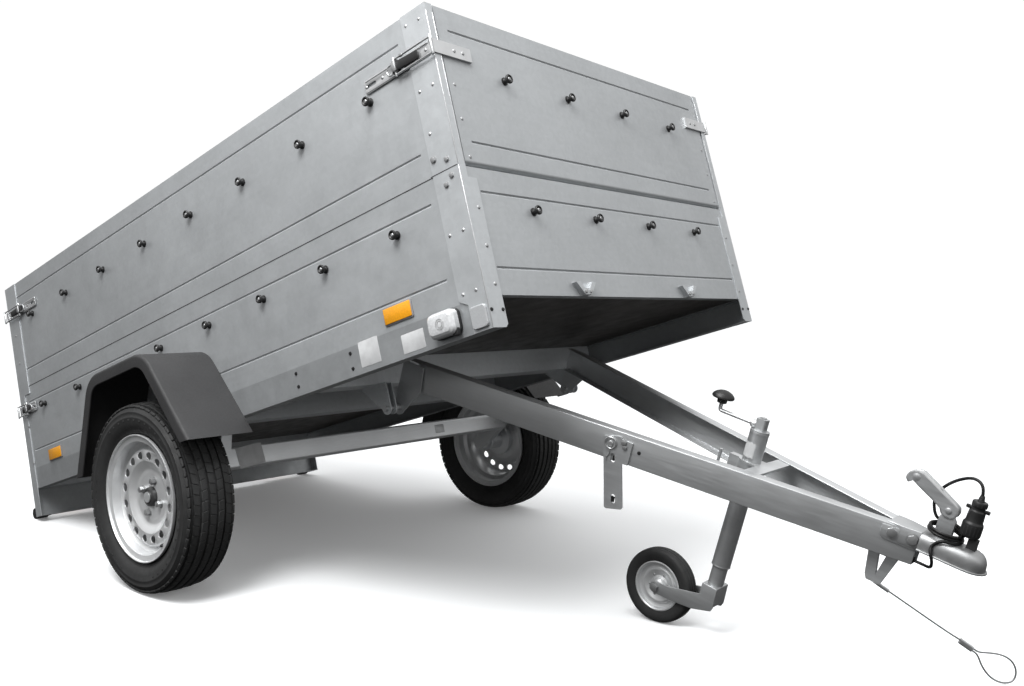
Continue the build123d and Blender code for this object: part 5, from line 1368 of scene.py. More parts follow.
# ---------------------------------------------------------------- drawbar fittings
@dataclass
class JockeyStand:
    """The jockey stand's crank and knob, label, tube trim, steel wheel and axle bolt."""

    station: float = 857.0
    tube_radius: float = 24.0
    crank_height: float = 230.0
    knee: float = 738.0
    rise: float = 19.0
    axle: tuple[float, float] = (710.0, -281.9)
    # Radius and distance from the middle of each point of half a section
    tyre_half: tuple[tuple[float, float], ...] = (
        (98.3, 5.0), (98.3, 6.4), (99.6, 7.2), (99.3, 12.0), (97.6, 17.8), (94.0, 21.4), (90.0, 22.9),
        (82.0, 22.7), (72.0, 20.8), (69.0, 19.6), (64.0, 18.5), (62.5, 15.0))
    dish_half: tuple[tuple[float, float], ...] = (
        (66.4, 17.8), (66.8, 19.8), (64.0, 20.4), (61.5, 18.8), (60.2, 14.0), (58.6, 10.6), (53.0, 8.2),
        (49.0, 8.8), (46.5, 11.8), (43.5, 12.6), (39.5, 11.6), (34.0, 7.8), (26.0, 6.0), (21.5, 8.2),
        (18.5, 15.5), (16.0, 18.5), (13.0, 20.5), (7.0, 21.0))

    def crank(self) -> None:
        """Bend the crank's rod up into its mushroom knob."""
        piece = Workpiece("jockey_crank_arm", "drawbar", BAR, BRIGHT_ZINC, BLACK_PLASTIC)
        height, knee = self.crank_height, self.knee
        route = [(self.station - 10, 0, height), (knee + 26, 0, height), (knee + 3, 0, height),
                 (knee, 0, height + 4), (knee, 0, height + self.rise), (knee, 0, height + self.rise + 8)]
        piece.add(bent_rod(route, 5.0))
        piece.add(turned(((0, 0), (9.5, 0), (10.5, 2), (10.5, 12), (9.0, 14), (0, 14)), 24),
                  at(self.station - 13, 0, height) @ Matrix.Rotation(math.radians(-90), 4, "Y"))
        knob = ((0, 0), (11.5, 0), (12.5, 1.5), (12.8, 8.0), (16.0, 11.0), (27.0, 13.2), (28.9, 15.5),
                (28.7, 18.5), (26.5, 22.5), (21.0, 27.5), (13.0, 31.5), (5.0, 33.6), (0, 33.9))
        piece.add(turned(knob, 40), at(knee, 0, height + self.rise), 1)
        piece.make("zinc", "jockey_crank")

    def label(self) -> None:
        """Wrap a bare label round the tube's lower half."""
        piece = Workpiece("jockey_label", "drawbar", BAR, LABEL)
        form = bmesh.new()
        line = [form.verts.new((self.tube_radius + 0.25, 0, height)) for height in (149.0, 187.0)]
        edge = [form.edges.new(line)]
        bmesh.ops.spin(form, geom=line + edge, cent=(0, 0, 0), axis=(0, 0, 1), angle=math.radians(115),
                       steps=20)
        bmesh.ops.recalc_face_normals(form, faces=form.faces)
        bmesh.ops.solidify(form, geom=form.faces[:], thickness=0.4)
        bmesh.ops.recalc_face_normals(form, faces=form.faces)
        piece.add(form, at(self.station, 0, 0) @ Matrix.Rotation(math.radians(-182), 4, "Z"))
        piece.make("lamp_white")

    def tube_trim(self) -> None:
        """Fit the tube's rolled lips and the head's cap bolt."""
        piece = Workpiece("jockey_tube_trim", "drawbar", BAR, BRIGHT_ZINC)
        upper = ((22.5, 0), (24.6, 0.4), (24.8, 2.2), (24.4, 4.0), (22.5, 4.4))
        lower = ((21.0, 0), (24.5, 0.3), (24.7, 2.0), (24.3, 3.6), (21.0, 4.0))
        piece.add(turned(upper, 40), at(self.station, 0, 211.0))
        piece.add(turned(lower, 40), at(self.station, 0, -152.8))
        piece.add(bar(8.0, 4.0, 6, 0.6), at(self.station, 0, 248.7))
        piece.make("zinc")

    def wheel(self) -> None:
        """Turn the solid tyre and its pressed steel centre."""
        place = at(self.axle[0], 0, self.axle[1]) @ Matrix.Rotation(math.radians(90), 4, "X")
        piece = Workpiece("jockey_roller", "jockey_wheel", BAR, TYRE_SKIN, WHEEL_SILVER, BOLT_ZINC)
        tyre, dish = ([(radius, -across) for radius, across in reversed(half)]
                      for half in (self.tyre_half, self.dish_half))
        piece.add(ring_of([*tyre, (99.8, -4.2), (99.9, 4.2), *self.tyre_half], 72), place)
        piece.add(ring_of([*self.dish_half, *dish], 64), place, 1)
        for side in (-1, 1):
            flip = Matrix.Rotation(0.0 if side > 0 else math.pi, 4, "X")
            for index in range(6):
                turn = Matrix.Rotation(math.tau * index / 6 + 0.3, 4, "Z")
                piece.add(rivet(3.6, 2.6), place @ flip @ turn @ at(30.0, 0, 6.2), 2)
        piece.make("tyre", "jockey_wheel")

    def axle_bolt(self) -> None:
        """Put the axle's bolt head and nut on the fork."""
        piece = Workpiece("jockey_axle_bolt", "jockey_fork", BAR, BOLT_ZINC)
        for side in (-1, 1):
            piece.add(bolt(10.0, 8.0), facing((self.axle[0], side * 31.8, self.axle[1]), (0, side, 0)))
        piece.make("zinc")

    def build(self) -> None:
        """Build every piece of the stand."""
        self.crank()
        self.label()
        self.tube_trim()
        self.wheel()
        self.axle_bolt()


@dataclass
class CouplingHandle:
    """The coupling's folded steel lever on its pivot block."""

    station: float = 1323.0
    pin_height: float = 210.5
    width: float = 24.0
    sheet: float = 3.0

    def outline(self, shrink: float = 0.0) -> list[tuple[float, float]]:
        """The lever's side, in the bar's plane."""
        u, w, s = self.station, self.pin_height, shrink
        return [(u + 3, w - 18 + s), (u + 12 - s, w - 15.5), (u + 18.5 - s, w - 9), (u + 21 - s, w + 1),
                (u + 18 - s, w + 12 - s), (u + 7, w + 19 - s),
                (u - 71, w + 60.5 - s), (u - 82, w + 62 - s), (u - 92, w + 60 - s), (u - 101, w + 52 - s),
                (u - 105.5 + s, w + 43), (u - 105.5 + s, w + 35 + s), (u - 99, w + 27 + s), (u - 93, w + 31),
                (u - 91, w + 35), (u - 86, w + 33 + s), (u - 78, w + 28 + s), (u - 36, w + 7.5 + s),
                (u - 20 + s, w - 2), (u - 15 + s, w - 11), (u - 6, w - 17.5 + s)]

    def build(self) -> None:
        """Fold the lever's two cheeks and back, and set its pins and pivot block."""
        piece = Workpiece("coupling_lever", "drawbar", BAR, BRIGHT_ZINC, TUBE_STEEL, PITTED_ZINC)
        half = self.width / 2
        for start in (half, -half + self.sheet):
            piece.add(plate(self.outline(), self.sheet, edge=1.2), at(0, start, 0) @ SIDEWAYS)
        for start in (half + 0.35, -half + 0.25):
            piece.add(plate(self.outline(4.2), 0.6), at(0, start, 0) @ SIDEWAYS, 2)
        piece.add(plate(self.outline(2.2), self.width - 5.0, edge=1.6), at(0, half - 2.5, 0) @ SIDEWAYS)
        u, w = self.station, self.pin_height
        foot = [(u - 15.5, 145.2), (u + 20.5, 145.2), (u + 20.5, w - 22), (u + 8, w - 6), (u - 8, w - 6),
                (u - 15.5, w - 20)]
        piece.add(plate(foot, 17.0, edge=1.5), at(0, 8.5, 0) @ SIDEWAYS, 1)
        for (x, z), radius, reach in (((u, w), 6.4, 15.0), ((u - 84, w + 45), 7.6, 13.2)):
            for side in (-1, 1):
                seat = facing((x, side * (half - 0.4), z), (0, side, 0))
                pin = ((0, 0), (radius + 2.2, 0), (radius + 2.2, 0.9), (radius, 1.2), (radius, reach - half),
                       (radius - 1.5, reach - half + 0.8), (0, reach - half + 0.8))
                piece.add(turned(pin, 24), seat, 1)
        piece.make("zinc", "coupling_handle")


@dataclass
class CouplingShell:
    """The coupling: saddle, a square-shouldered neck running into the ball cup, lip and socket."""

    # Station, half width and crown height of each section
    sections: tuple[tuple[float, float, float], ...] = (
        (1290.0, 34.0, 146.0), (1310.0, 34.2, 146.3), (1340.0, 35.0, 146.8), (1362.0, 36.4, 147.0),
        (1384.0, 37.2, 147.0), (1400.0, 36.2, 145.5), (1411.0, 33.0, 142.0), (1419.0, 27.5, 135.5),
        (1424.4, 19.5, 127.0), (1427.0, 9.0, 117.0), (1427.6, 2.0, 110.0))
    foot: float = 104.6
    saddle_end: float = 1290.5
    steps: int = 32
    squareness: float = 0.5
    lip_reach: float = 4.4
    nose: float = 1431.8
    ball: tuple[float, float] = (1390.0, 26.5)

    def skin(self) -> bmesh.types.BMesh:
        """The sections bridged into one skin."""
        form = bmesh.new()
        rows = []
        for station, half, crown in self.sections:
            row = []
            for step in range(self.steps + 1):
                turn = math.pi * step / self.steps
                across, rise = math.cos(turn), max(math.sin(turn), 0.0)
                y = math.copysign(abs(across) ** self.squareness, across) * half
                z = self.foot + (crown - self.foot) * rise ** self.squareness
                row.append(form.verts.new((station, y, z)))
            rows.append([form.edges.new(pair) for pair in zip(row, row[1:])])
        for first, second in zip(rows, rows[1:]):
            bmesh.ops.bridge_loops(form, edges=first + second)
        bmesh.ops.recalc_face_normals(form, faces=form.faces)
        return form

    def lip(self) -> bmesh.types.BMesh:
        """The turned-out lip, open at the ball."""
        near = [(station, -half - self.lip_reach) for station, half, _ in self.sections[:7]]
        near += [(1421.0, -29.0), (1427.5, -19.0), (self.nose, -6.0)]
        station, radius = self.ball
        hole = circle(radius, station, steps=48)
        return plate(near + [(u, -v) for u, v in reversed(near)], 4.4, (hole,), edge=1.3)

    def saddle(self) -> bmesh.types.BMesh:
        """The saddle over the beams, cut off where the skin begins."""
        form = bmesh.new()
        form.from_mesh(frame["nodes"]["coupling"].data)
        form.transform(BAR.matrix().inverted())
        bmesh.ops.remove_doubles(form, verts=form.verts, dist=0.01)
        bmesh.ops.bisect_plane(form, geom=form.verts[:] + form.edges[:] + form.faces[:],
                               plane_co=(self.saddle_end, 0, 0), plane_no=(1, 0, 0), clear_outer=True)
        bmesh.ops.holes_fill(form, edges=form.edges)
        bmesh.ops.dissolve_limit(form, angle_limit=math.radians(1.0), verts=form.verts, edges=form.edges)
        soften(form, keen(form, math.radians(40.0)), 1.2, clamp=True)
        return form

    def build(self) -> None:
        """Build the skin, its lip, the socket and the saddle."""
        piece = Workpiece("coupling_shell", "drawbar", BAR, CAST_ZINC, PITTED_ZINC, crease=44.0)
        piece.add(self.saddle(), None, 1)
        piece.add(self.skin())
        piece.add(self.lip(), at(0, 0, self.foot))
        socket = ((0, 141.0), (12.0, 139.6), (22.0, 133.8), (26.5, 122.0), (26.5, 105.0), (28.3, 105.0),
                  (28.3, 122.6), (23.4, 135.4), (12.6, 141.6), (0, 143.0))
        piece.add(turned(socket), at(self.ball[0], 0, 0), 1)
        piece.make("zinc", "coupling")


@dataclass
class CouplingCheeks:
    """The coupling's pressed cheeks, lapped over the beams' front ends."""

    outline: tuple[tuple[float, float], ...] = (
        (1210.0, 136.5), (1210.0, 113.0), (1213.0, 107.0), (1219.0, 103.5), (1228.0, 102.5), (1286.0, 98.0),
        (1286.0, 136.5))
    # Where the beam's own skin is looked up
    stations: tuple[float, float] = (1212.0, 1284.0)

    def build(self) -> None:
        """Lay both cheeks on the beams."""
        piece = Workpiece("coupling_cheeks", "drawbar", BAR, TUBE_STEEL)
        rear, front = (SEATS.seat("drawbar_beam_right", BAR, (x, -900.0, 120.0), (0, 1, 0), 0.0).translation
                       for x in self.stations)
        run = (front - rear).normalized()
        skew = Matrix.Identity(4)
        skew[1][0] = run.y / run.x
        skew[1][3] = rear.y - self.stations[0] * run.y / run.x
        piece.add(plate(self.outline, 3.0, edge=1.1), skew @ SIDEWAYS)
        piece.mirror()
        piece.make("zinc")


@dataclass
class PlugBody:
    """The plug: contact sleeve, ribbed collar, wings, neck and cable nut."""

    station: float = 1375.0
    foot: float = 170.0

    def build(self) -> None:
        """Turn the body and set its ribs, wings and cable sleeve."""
        piece = Workpiece("plug_body", "drawbar", BAR, BLACK_PLASTIC, BLACK_RUBBER)
        place = at(self.station, 0, self.foot)
        body = ((0, 0.2), (15.0, 0.2), (16.5, 1.0), (19.0, 2.0), (20.5, 4.5), (21.3, 7.0), (21.4, 31.0),
                (20.6, 34.0), (19.2, 35.4), (17.9, 39.0), (17.6, 50.0), (17.1, 58.0), (16.8, 61.0),
                (15.2, 62.4), (13.8, 63.8), (13.4, 68.0), (13.8, 69.6), (15.2, 70.6), (15.9, 72.0),
                (15.9, 81.0), (14.8, 83.0), (12.0, 84.0), (8.0, 84.0), (0, 84.0))
        piece.add(turned(body, 48), place)
        # Ribs round the sleeve and round the nut: count, size, edge, radius and height
        for count, size, edge, radius, height in ((18, (1.6, 2.4, 22.0), 0.5, 21.0, 18.5),
                                                  (12, (1.2, 2.2, 8.0), 0.4, 15.6, 76.5)):
            for index in range(count):
                turn = Matrix.Rotation(math.tau * index / count, 4, "Z")
                piece.add(block(size, edge, 1), place @ turn @ at(radius, 0, height), 1)
        piece.add(block((49.5, 8.6, 6.0), 1.6), place @ at(0, 0, 65.2))
        wing = ((0, 0), (4.6, 0), (4.6, 6.6), (3.8, 7.4), (0, 7.4))
        for side in (-1, 1):
            piece.add(turned(wing, 16), place @ at(side * 20.2, 0, 61.5))
        sleeve = ((3.6, 0), (7.6, 0), (7.2, 3.0), (6.2, 4.0), (6.6, 5.5), (5.8, 7.5), (6.1, 9.0), (5.2, 11.0),
                  (5.0, 13.5), (3.6, 13.8))
        piece.add(ring_of(sleeve, 24), place @ at(0, 0, 83.0), 1)
        piece.make("black_plastic", "plug")


@dataclass
class StrapDressing:
    """The locking strap's linch pin ring and the black fills in its slots."""

    station: float = 590.0
    bolt_height: float = 110.0
    slots: tuple[tuple[float, float, float], ...] = ((599.0, 70.0, 14.0), (623.0, -33.0, 15.0))

    def build(self) -> None:
        """Hang the ring on the strap and fill its slots with black blocks as painted shade."""
        piece = Workpiece("strap_ring", "drawbar", BAR, BRIGHT_ZINC, BLACK_PLASTIC)
        seat = SEATS.seat("lock_strap", BAR, (self.station - 2.0, -900.0, self.bolt_height - 3.0), (0, 1, 0))
        ring = [(15.0 * math.cos(a), 15.0 * math.sin(a) + 1.0, 3.4 + 1.2 * math.sin(a))
                for a in (math.tau * step / 12 for step in range(12))]
        piece.add(bent_rod(ring, 1.9, True), seat)
        piece.add(turned(((0, 0), (6.5, 0), (6.5, 5.5), (5.6, 6.6), (0, 6.6)), 20), seat)
        tail = ((0, -14, 3.0), (3, -19, 2.6), (2, -30, 2.2), (-3, -37, 2.2), (-1, -44, 2.0))
        piece.add(bent_rod(tail, 1.8), seat)
        # Black blocks sunk just under the strap's skin in its slots: painted shade inside each slot
        for u, w, tall in self.slots:
            nut = block((11.0, 3.6, tall), 1.0)
            skin = SEATS.seat("lock_strap", BAR, (u + 15.0, -900.0, w), (0, 1, 0), 2.6)
            piece.add(nut, at(u, skin.translation.y, w), 1)
        piece.make("zinc")


@dataclass
class Latches:
    """Over-centre latches: base strip with rolled edges, black lever on its block and a bright bail."""

    height: float = 34.0
    plate: float = 3.0
    setback: float = 10.0
    skin: float = POST_SKIN
    bail_spread: float = 38.0
    standoff: float = 10.0

    def latch(self, piece: Workpiece, x_end: float, facing_x: int, z_mid: float, length: float) -> None:
        """One latch on the right side.

        Args:
            piece: the piece to add it to.
            x_end: where the bed ends.
            facing_x: the way that end faces.
            z_mid: the latch's height.
            length: its base strip's length.
        """
        def along(distance: float) -> float:
            """The station at a distance in from the bed's end."""
            return x_end - facing_x * (self.setback + distance)

        block_at, free_end = 0.44 * length, 0.15 * length
        outline = rounded(length, self.height, 5.0, 4, along(length / 2), z_mid)
        slot = rounded(0.16 * length, 9.0, 4.4, 4, along(0.9 * length), z_mid)
        place = at(0, -self.skin, 0) @ SIDEWAYS
        piece.add(plate(outline, self.plate * 0.6, (slot,), edge=0.4), place)
        for side in (-1, 1):
            piece.add(block((length - 10.0, 2.4, 1.6), 0.7),
                      place @ at(along(length / 2), z_mid + side * 13.6, 2.2))
        for share in (0.06, 0.30, 0.72, 0.97):
            piece.add(rivet(4.2, 2.2), place @ at(along(share * length), z_mid, 1.7), 1)
        # The lever: a folded black channel lying over the strip towards the corner, thin at its free end
        lever = [(along(block_at + 20), 2.6), (along(block_at + 20), 11.0), (along(block_at + 8), 13.0),
                 (along(block_at - 12), 12.6), (along(free_end + 10), 8.4), (along(free_end), 9.6),
                 (along(free_end), 6.4), (along(free_end + 10), 5.0), (along(block_at - 14), 4.0)]
        flat = Matrix(((1, 0, 0, 0), (0, -1, 0, -self.skin), (0, 0, -1, z_mid + 10.5), (0, 0, 0, 1)))
        piece.add(plate(lever, 21.0, edge=1.2), flat, 2)
        piece.add(block((17.0, 33.0, 10.0), 2.0), place @ at(along(block_at + 9), z_mid, 7.6), 2)
        piece.add(block((14.0, 24.0, 6.0), 2.4), place @ at(along(block_at + 9), z_mid, 15.0), 1)
        piece.add(bent_rod(((along(block_at + 20), z_mid + 12, 9.0), (along(block_at + 34), z_mid + 13, 7.0),
                            (along(block_at + 42), z_mid, 6.0), (along(block_at + 34), z_mid - 13, 7.0),
                            (along(block_at + 20), z_mid - 12, 9.0)), 2.2), place)
        run_start, run_end = along(block_at + 9), x_end + facing_x * 3.7
        half = self.bail_spread / 2
        for side in (-1, 1):
            z = z_mid + side * half
            piece.add(bent_rod([(x, z, self.standoff) for x in (run_start, run_end)], 2.5), place)
            piece.add(bar(4.4, 9.0, 6, 0.5), place @ at(along(block_at - 12), z, self.standoff)
                      @ Matrix.Rotation(math.radians(90), 4, "Y"), 1)
        for x in (run_start, run_end):
            piece.add(bar(3.2, 2 * half + 8.4, 16, 0.6), place @ at(x, z_mid + half + 4.2, self.standoff)
                      @ Matrix.Rotation(math.radians(90), 4, "X"))

    def build(self) -> None:
        """Build the six latches."""
        piece = Workpiece("latch_sets", "bed", BED, BRIGHT_ZINC, BOLT_ZINC, BLACK_PLASTIC)
        self.latch(piece, 0.0, 1, 663.0, 228.0)
        self.latch(piece, -BED_LENGTH, -1, 663.0, 228.0)
        self.latch(piece, -BED_LENGTH, -1, 295.0, 118.0)
        piece.mirror()
        piece.make("zinc", "latches")


@dataclass
class MarkerLamps:
    """White front marker lamps: a faceted lens on its boot."""

    middle: tuple[float, float] = (-131.0, 42.0)
    size: tuple[float, float] = (86.0, 62.0)

    def build(self) -> None:
        """Build both lamps."""
        piece = Workpiece("marker_lamp_sets", "bed", BED, CLEAR, BLACK_RUBBER, LENS_CORE)
        place = at(self.middle[0], -WALL_SKIN, self.middle[1]) @ SIDEWAYS
        width, height = self.size
        piece.add(plate(rounded(width, height, 16.0, 5), 9.0, edge=1.4), place, 1)
        lens = bmesh.new()
        outline = rounded(width - 3.0, height - 3.0, 15.0, 5)
        corners = [lens.verts.new((x, y, 0.0)) for x, y in outline]
        cap = lens.faces.new(corners)
        for rise, shrink in ((13.0, 0.5), (6.0, 3.0), (4.2, 6.0), (1.6, 10.0)):
            grown = bmesh.ops.extrude_face_region(lens, geom=[cap])
            verts = [item for item in grown["geom"] if isinstance(item, bmesh.types.BMVert)]
            cap = next(item for item in grown["geom"] if isinstance(item, bmesh.types.BMFace))
            middle = sum((v.co for v in verts), Vector()) / len(verts)
            for vert in verts:
                spread = vert.co - middle
                vert.co += Vector((-spread.x * shrink / (width / 2), -spread.y * shrink / (height / 2), rise))
        bmesh.ops.recalc_face_normals(lens, faces=lens.faces)
        piece.add(lens, place @ at(0, 0, 8.6))
        for radius in (12.0, 7.6):
            ring = ((radius - 1.6, 0), (radius + 1.6, 0), (radius + 0.9, 1.1), (radius - 0.9, 1.1))
            piece.add(ring_of(ring, 32), place @ at(4.0, -1.0, 32.6), 2)
        piece.add(block((16.0, 20.0, 12.0), 3.0), place @ at(width / 2 - 10.0, -height / 2 + 6.0, 14.0), 1)
        piece.mirror()
        piece.make("lamp_white", "marker_lamps")


@dataclass
class Reflectors:
    """Amber side reflectors, each in a shallow frame."""

    places: tuple[tuple[float, float], ...] = ((-280.0, 111.0), (-2120.0, 101.0))

    def build(self) -> None:
        """Build both sides' reflectors."""
        piece = Workpiece("side_reflectors", "bed", BED, AMBER, AMBER_EDGE)
        for x, z in self.places:
            place = at(x, -WALL_SKIN, z) @ SIDEWAYS
            piece.add(plate(rounded(100.0, 45.0, 4.0, 3), 3.4, edge=0.8), place, 1)
            piece.add(block((93.0, 38.0, 3.4), 1.0), place @ at(0, 0, 4.2))
        piece.mirror()
        piece.make("amber", "reflectors")


@dataclass
class TailLamps:
    """Rear lamp clusters: a black base, and red, amber and white lenses side by side."""

    size: tuple[float, float, float] = (200.0, 84.0, 24.0)
    height: float = -50.5

    def build(self) -> None:
        """Build both clusters over the frame's lamps."""
        low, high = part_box("tail_lamps")
        middle = (Vector(low) + Vector(high)) / 2
        width, tall, deep = self.size
        piece = Workpiece("tail_lamp_sets", "bed", BED, BLACK_PLASTIC, RED, AMBER, CLEAR)
        spread = (high[1] - low[1]) / MM / 2 - width / 2
        place = facing((3.0 - BED_LENGTH, middle.y / MM - spread, self.height), (-1, 0, 0))
        piece.add(block((width, tall, 8.0), 3.0), place @ at(0, 0, 4.0))
        rise = deep - 8.6
        for start, run, slot in ((-97.0, 92.0, 1), (-4.0, 60.0, 2), (57.0, 40.0, 3)):
            piece.add(block((run, tall - 6.0, rise), 3.4),
                      place @ at(start + run / 2, 0, 8.0 + rise / 2), slot)
        for x in (-50.0, 30.0):
            piece.add(turned(((0, 0), (4.5, 0), (4.5, 1.2), (3.5, 2.0), (0, 2.0)), 14),
                      place @ at(x, 0, deep - 2.4))
        piece.mirror()
        piece.make("lamp_red", "tail_lamps")


@dataclass
class Labels:
    """Bare labels and plates, where the real ones carry print."""

    def flat(self, name: str, node: str, middle: Point, heading: Point, size: tuple[float, float],
             tilt: float = 0.0, finish: Finish = LABEL) -> None:
        """Lay one label on a node's skin.

        Args:
            name: the label's name.
            node: the node it is stuck to.
            middle: a point before its middle.
            heading: the way to the skin.
            size: its width and height.
            tilt: its turn in its own plane, in degrees.
            finish: its finish.
        """
        piece = Workpiece(name, "bed", BED, finish)
        seat = SEATS.seat(node, BED, middle, heading, 0.0) @ Matrix.Rotation(math.radians(tilt), 4, "Z")
        piece.add(plate(rounded(*size, 2.0, 3), 0.5, edge=0.12), seat)
        piece.make("lamp_white")

    def build(self) -> None:
        """Lay every label."""
        self.flat("rail_label_wide", "rail_right", (-405.5, -900, 46), (0, 1, 0), (73, 64))
        self.flat("rail_label_small", "rail_right", (-250, -900, 33), (0, 1, 0), (76, 46))
        self.flat("axle_label", "axle_beam", (-900, -535, -99), (-1, 0, 0), (92, 62), 6)
        self.flat("axle_label_small", "axle_beam", (-900, 275, -99), (-1, 0, 0), (46, 30), finish=PITTED_ZINC)


@dataclass
class WheelHubs:
    """Hub drums behind the wheels, with shallow black dust caps."""

    def build(self) -> None:
        """Turn both hubs."""
        for side in Side:
            name = side.name.lower()
            piece = Workpiece(f"hub_set_{name}", f"wheel_{name}", BED, HUB_ENAMEL, AXLE_STEEL)
            wheel = RoadWheel(side)
            cap = ((0, 20.0), (27.6, 20.0), (27.6, 33.0), (27.0, 35.6), (25.0, 37.2), (21.0, 38.2),
                   (20.4, 37.4), (18.0, 37.4), (17.2, 38.8), (10.0, 40.2), (0, 40.8))
            piece.add(turned(cap), wheel.place())
            low, high = (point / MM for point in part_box(f"hub_{name}"))
            reach = wheel.outset - min(abs(low.y), abs(high.y))
            drum = ((0, -reach), (30.0, -reach), (33.0, -reach + 3), (33.0, -6.0), (52.0, 0.0), (60.0, 2.0),
                    (61.0, 8.0), (61.0, 19.0), (58.0, 21.6), (0, 21.6))
            piece.add(turned(drum), wheel.place(), 1)
            piece.make("hub_metal", f"hub_{name}")


@dataclass
class SeamShadowStrips:
    """A thin dark strip painted as the shadow in the gap where the extension walls stand on the lower walls."""

    height: float = 377.0

    def build(self) -> None:
        """Run a thin strip of painted shadow along both sides."""
        piece = Workpiece("seam_shadow_strips", "bed", BED, SEAM_SHADOW)
        piece.add(block((BED_LENGTH - 2 * 62.0, 0.8, 2.4), 0.2),
                  at(-BED_LENGTH / 2, -WALL_SKIN - 0.2, self.height))
        piece.add(block((86.0, 0.8, 2.0), 0.2), at(-46.0, -POST_SKIN - 0.1, self.height + 1.5))
        piece.mirror()
        piece.make("galvanised")


@dataclass
class EdgeBeadHighlights:
    """Rolled edges on the corner folds and the front walls' rims, in bright zinc lighter than the sheet: real
    beads with a painted highlight along each fold.
    """

    def build(self) -> None:
        """Run a thin bright bead down each fold as its painted highlight."""
        piece = Workpiece("corner_bead_highlights", "bed", BED, BRIGHT_ZINC)
        for x in (-1.2, 1.2 - BED_LENGTH):
            for length, foot in ((374.0, 2.0), (372.0, 381.0)):
                piece.add(bar(1.5, length, 12, 0.5), at(x, 1.2 - POST_SKIN, foot))
        piece.add(bar(1.2, 368.0, 12, 0.4), at(-0.5, -619.0, 383.0))
        piece.mirror()
        piece.make("galvanised")


@dataclass(frozen=True)
class RoundedNode:
    """A node of folded sheet or casting, drawn again with the radius that its edges really have."""

    node: str
    finish: Finish
    slot: str
    radius: float
    segments: int = 3
    sharp: float = 25.0

    def body(self) -> str:
        """The body that the node is part of."""
        bodies = frame["record"]["behaviour"]["bodies"]
        return next(name for name, nodes in bodies.items() if self.node in nodes)

    def build(self) -> None:
        """Round the edges of a copy of the node."""
        piece = Workpiece(f"{self.node}_dressed", self.body(), GROUND, self.finish, crease=40.0)
        form = bmesh.new()
        form.from_mesh(frame["nodes"][self.node].data)
        bmesh.ops.scale(form, vec=(1 / MM,) * 3, verts=form.verts)
        bmesh.ops.remove_doubles(form, verts=form.verts, dist=0.01)
        bmesh.ops.dissolve_limit(form, angle_limit=math.radians(1.0), verts=form.verts, edges=form.edges)
        soften(form, keen(form, math.radians(self.sharp)), self.radius, self.segments, True)
        piece.add(form)
        piece.make(self.slot, self.node)


ROUNDED_NODES = (
    RoundedNode("drawbar_beam_right", BAR_STEEL, "frame_steel", 1.4),
    RoundedNode("drawbar_beam_left", BAR_STEEL, "frame_steel", 1.4),
    RoundedNode("jockey_fork", TUBE_STEEL, "zinc", 1.3),
    RoundedNode("axle_beam", AXLE_STEEL, "frame_steel", 4.0),
)
BED_FASTENERS = FastenerSet(
    "bed_fasteners", "bed", BED,
    fasteners=ahead_of("lock_ears", ((-252.0, 84.0), (-272.0, 84.0), (252.0, 84.0), (272.0, 84.0)),
                       Head.HEXAGON, 4.2, 4.0),
    mirrored=(
        *near("rail_right", ((-475.0, 59.0), (-475.0, 20.0), (-700.0, 60.0), (-699.0, 24.5),
                             (-1860.0, 59.0), (-1860.0, 20.0)), Head.HEXAGON, 3.6, 3.0, True),
        *near("corner_posts", ((-69.0, 232.0), (-27.0, 93.0), (-67.0, 93.0), (-27.0, 232.0))),
        *near("corner_posts", ((-47.0, 345.0),), Head.HEXAGON, 5.5, 4.5),
        *near("corner_posts+extension_posts+side_wall_right", ((-26.0, 361.0),), Head.HEXAGON, 5.5, 4.5),
        *near("extension_posts", ((-69.0, 580.0), (-65.0, 475.0), (-26.0, 580.0))),
        *near("extension_posts", ((-27.0, 742.0), (-70.0, 745.0)), Head.RIVET, 4.0),
        *near("extension_posts", ((-70.0, 414.0),), Head.HEXAGON, 6.5, 5.0),
        *near("extension_posts", ((-31.0, 401.0),), Head.HEXAGON, 5.5, 4.5),
        *ahead_of("corner_posts", ((-602.0, 279.0), (-602.0, 189.0), (-602.0, 100.0)), Head.RIVET, 5.0, 2.4),
        *ahead_of("corner_posts", ((-633.0, 41.0), (-594.5, 40.5)), Head.HEXAGON, 3.2, 3.0, True),
        *near("corner_posts", ((-2300.0, 232.0), (-2300.0, 93.0))),
        *near("extension_posts", ((-2300.0, 580.0), (-2300.0, 475.0))),
    ),
)
EXTENSION_FASTENERS = FastenerSet(
    "extension_front_fasteners", "extension_front", BED,
    fasteners=ahead_of("catches_extension_front", ((-544.0, 663.0), (-574.0, 663.0), (544.0, 663.0),
                                                   (574.0, 663.0)), Head.RIVET, 5.0, 2.6, x=60.0),
    mirrored=ahead_of("extension_front", ((-590.0, 579.0), (-590.0, 495.0), (-590.0, 402.0)),
                      Head.RIVET, 4.4, 2.0),
)
DRAWBAR_FASTENERS = FastenerSet(
    "drawbar_fasteners", "drawbar", BAR,
    fasteners=(
        *near("lock_strap", ((619.6, 118.3),), Head.HEXAGON, 6.0, 6.0),
        *near("lock_strap", ((624.0, 107.1),), Head.HEXAGON, 5.0, 5.0),
        *near("drawbar_beam_right", ((658.0, 103.8),), Head.COUNTERSUNK, 5.0, 1.2, True),
    ),
    mirrored=(
        *near("coupling+drawbar_beam_right", ((1231.6, 123.3), (1275.9, 122.8)), Head.HEXAGON, 10.0, 9.0),
        *near("coupling", ((1317.8, 129.1),), Head.HEXAGON, 8.0, 5.0),
    ),
)


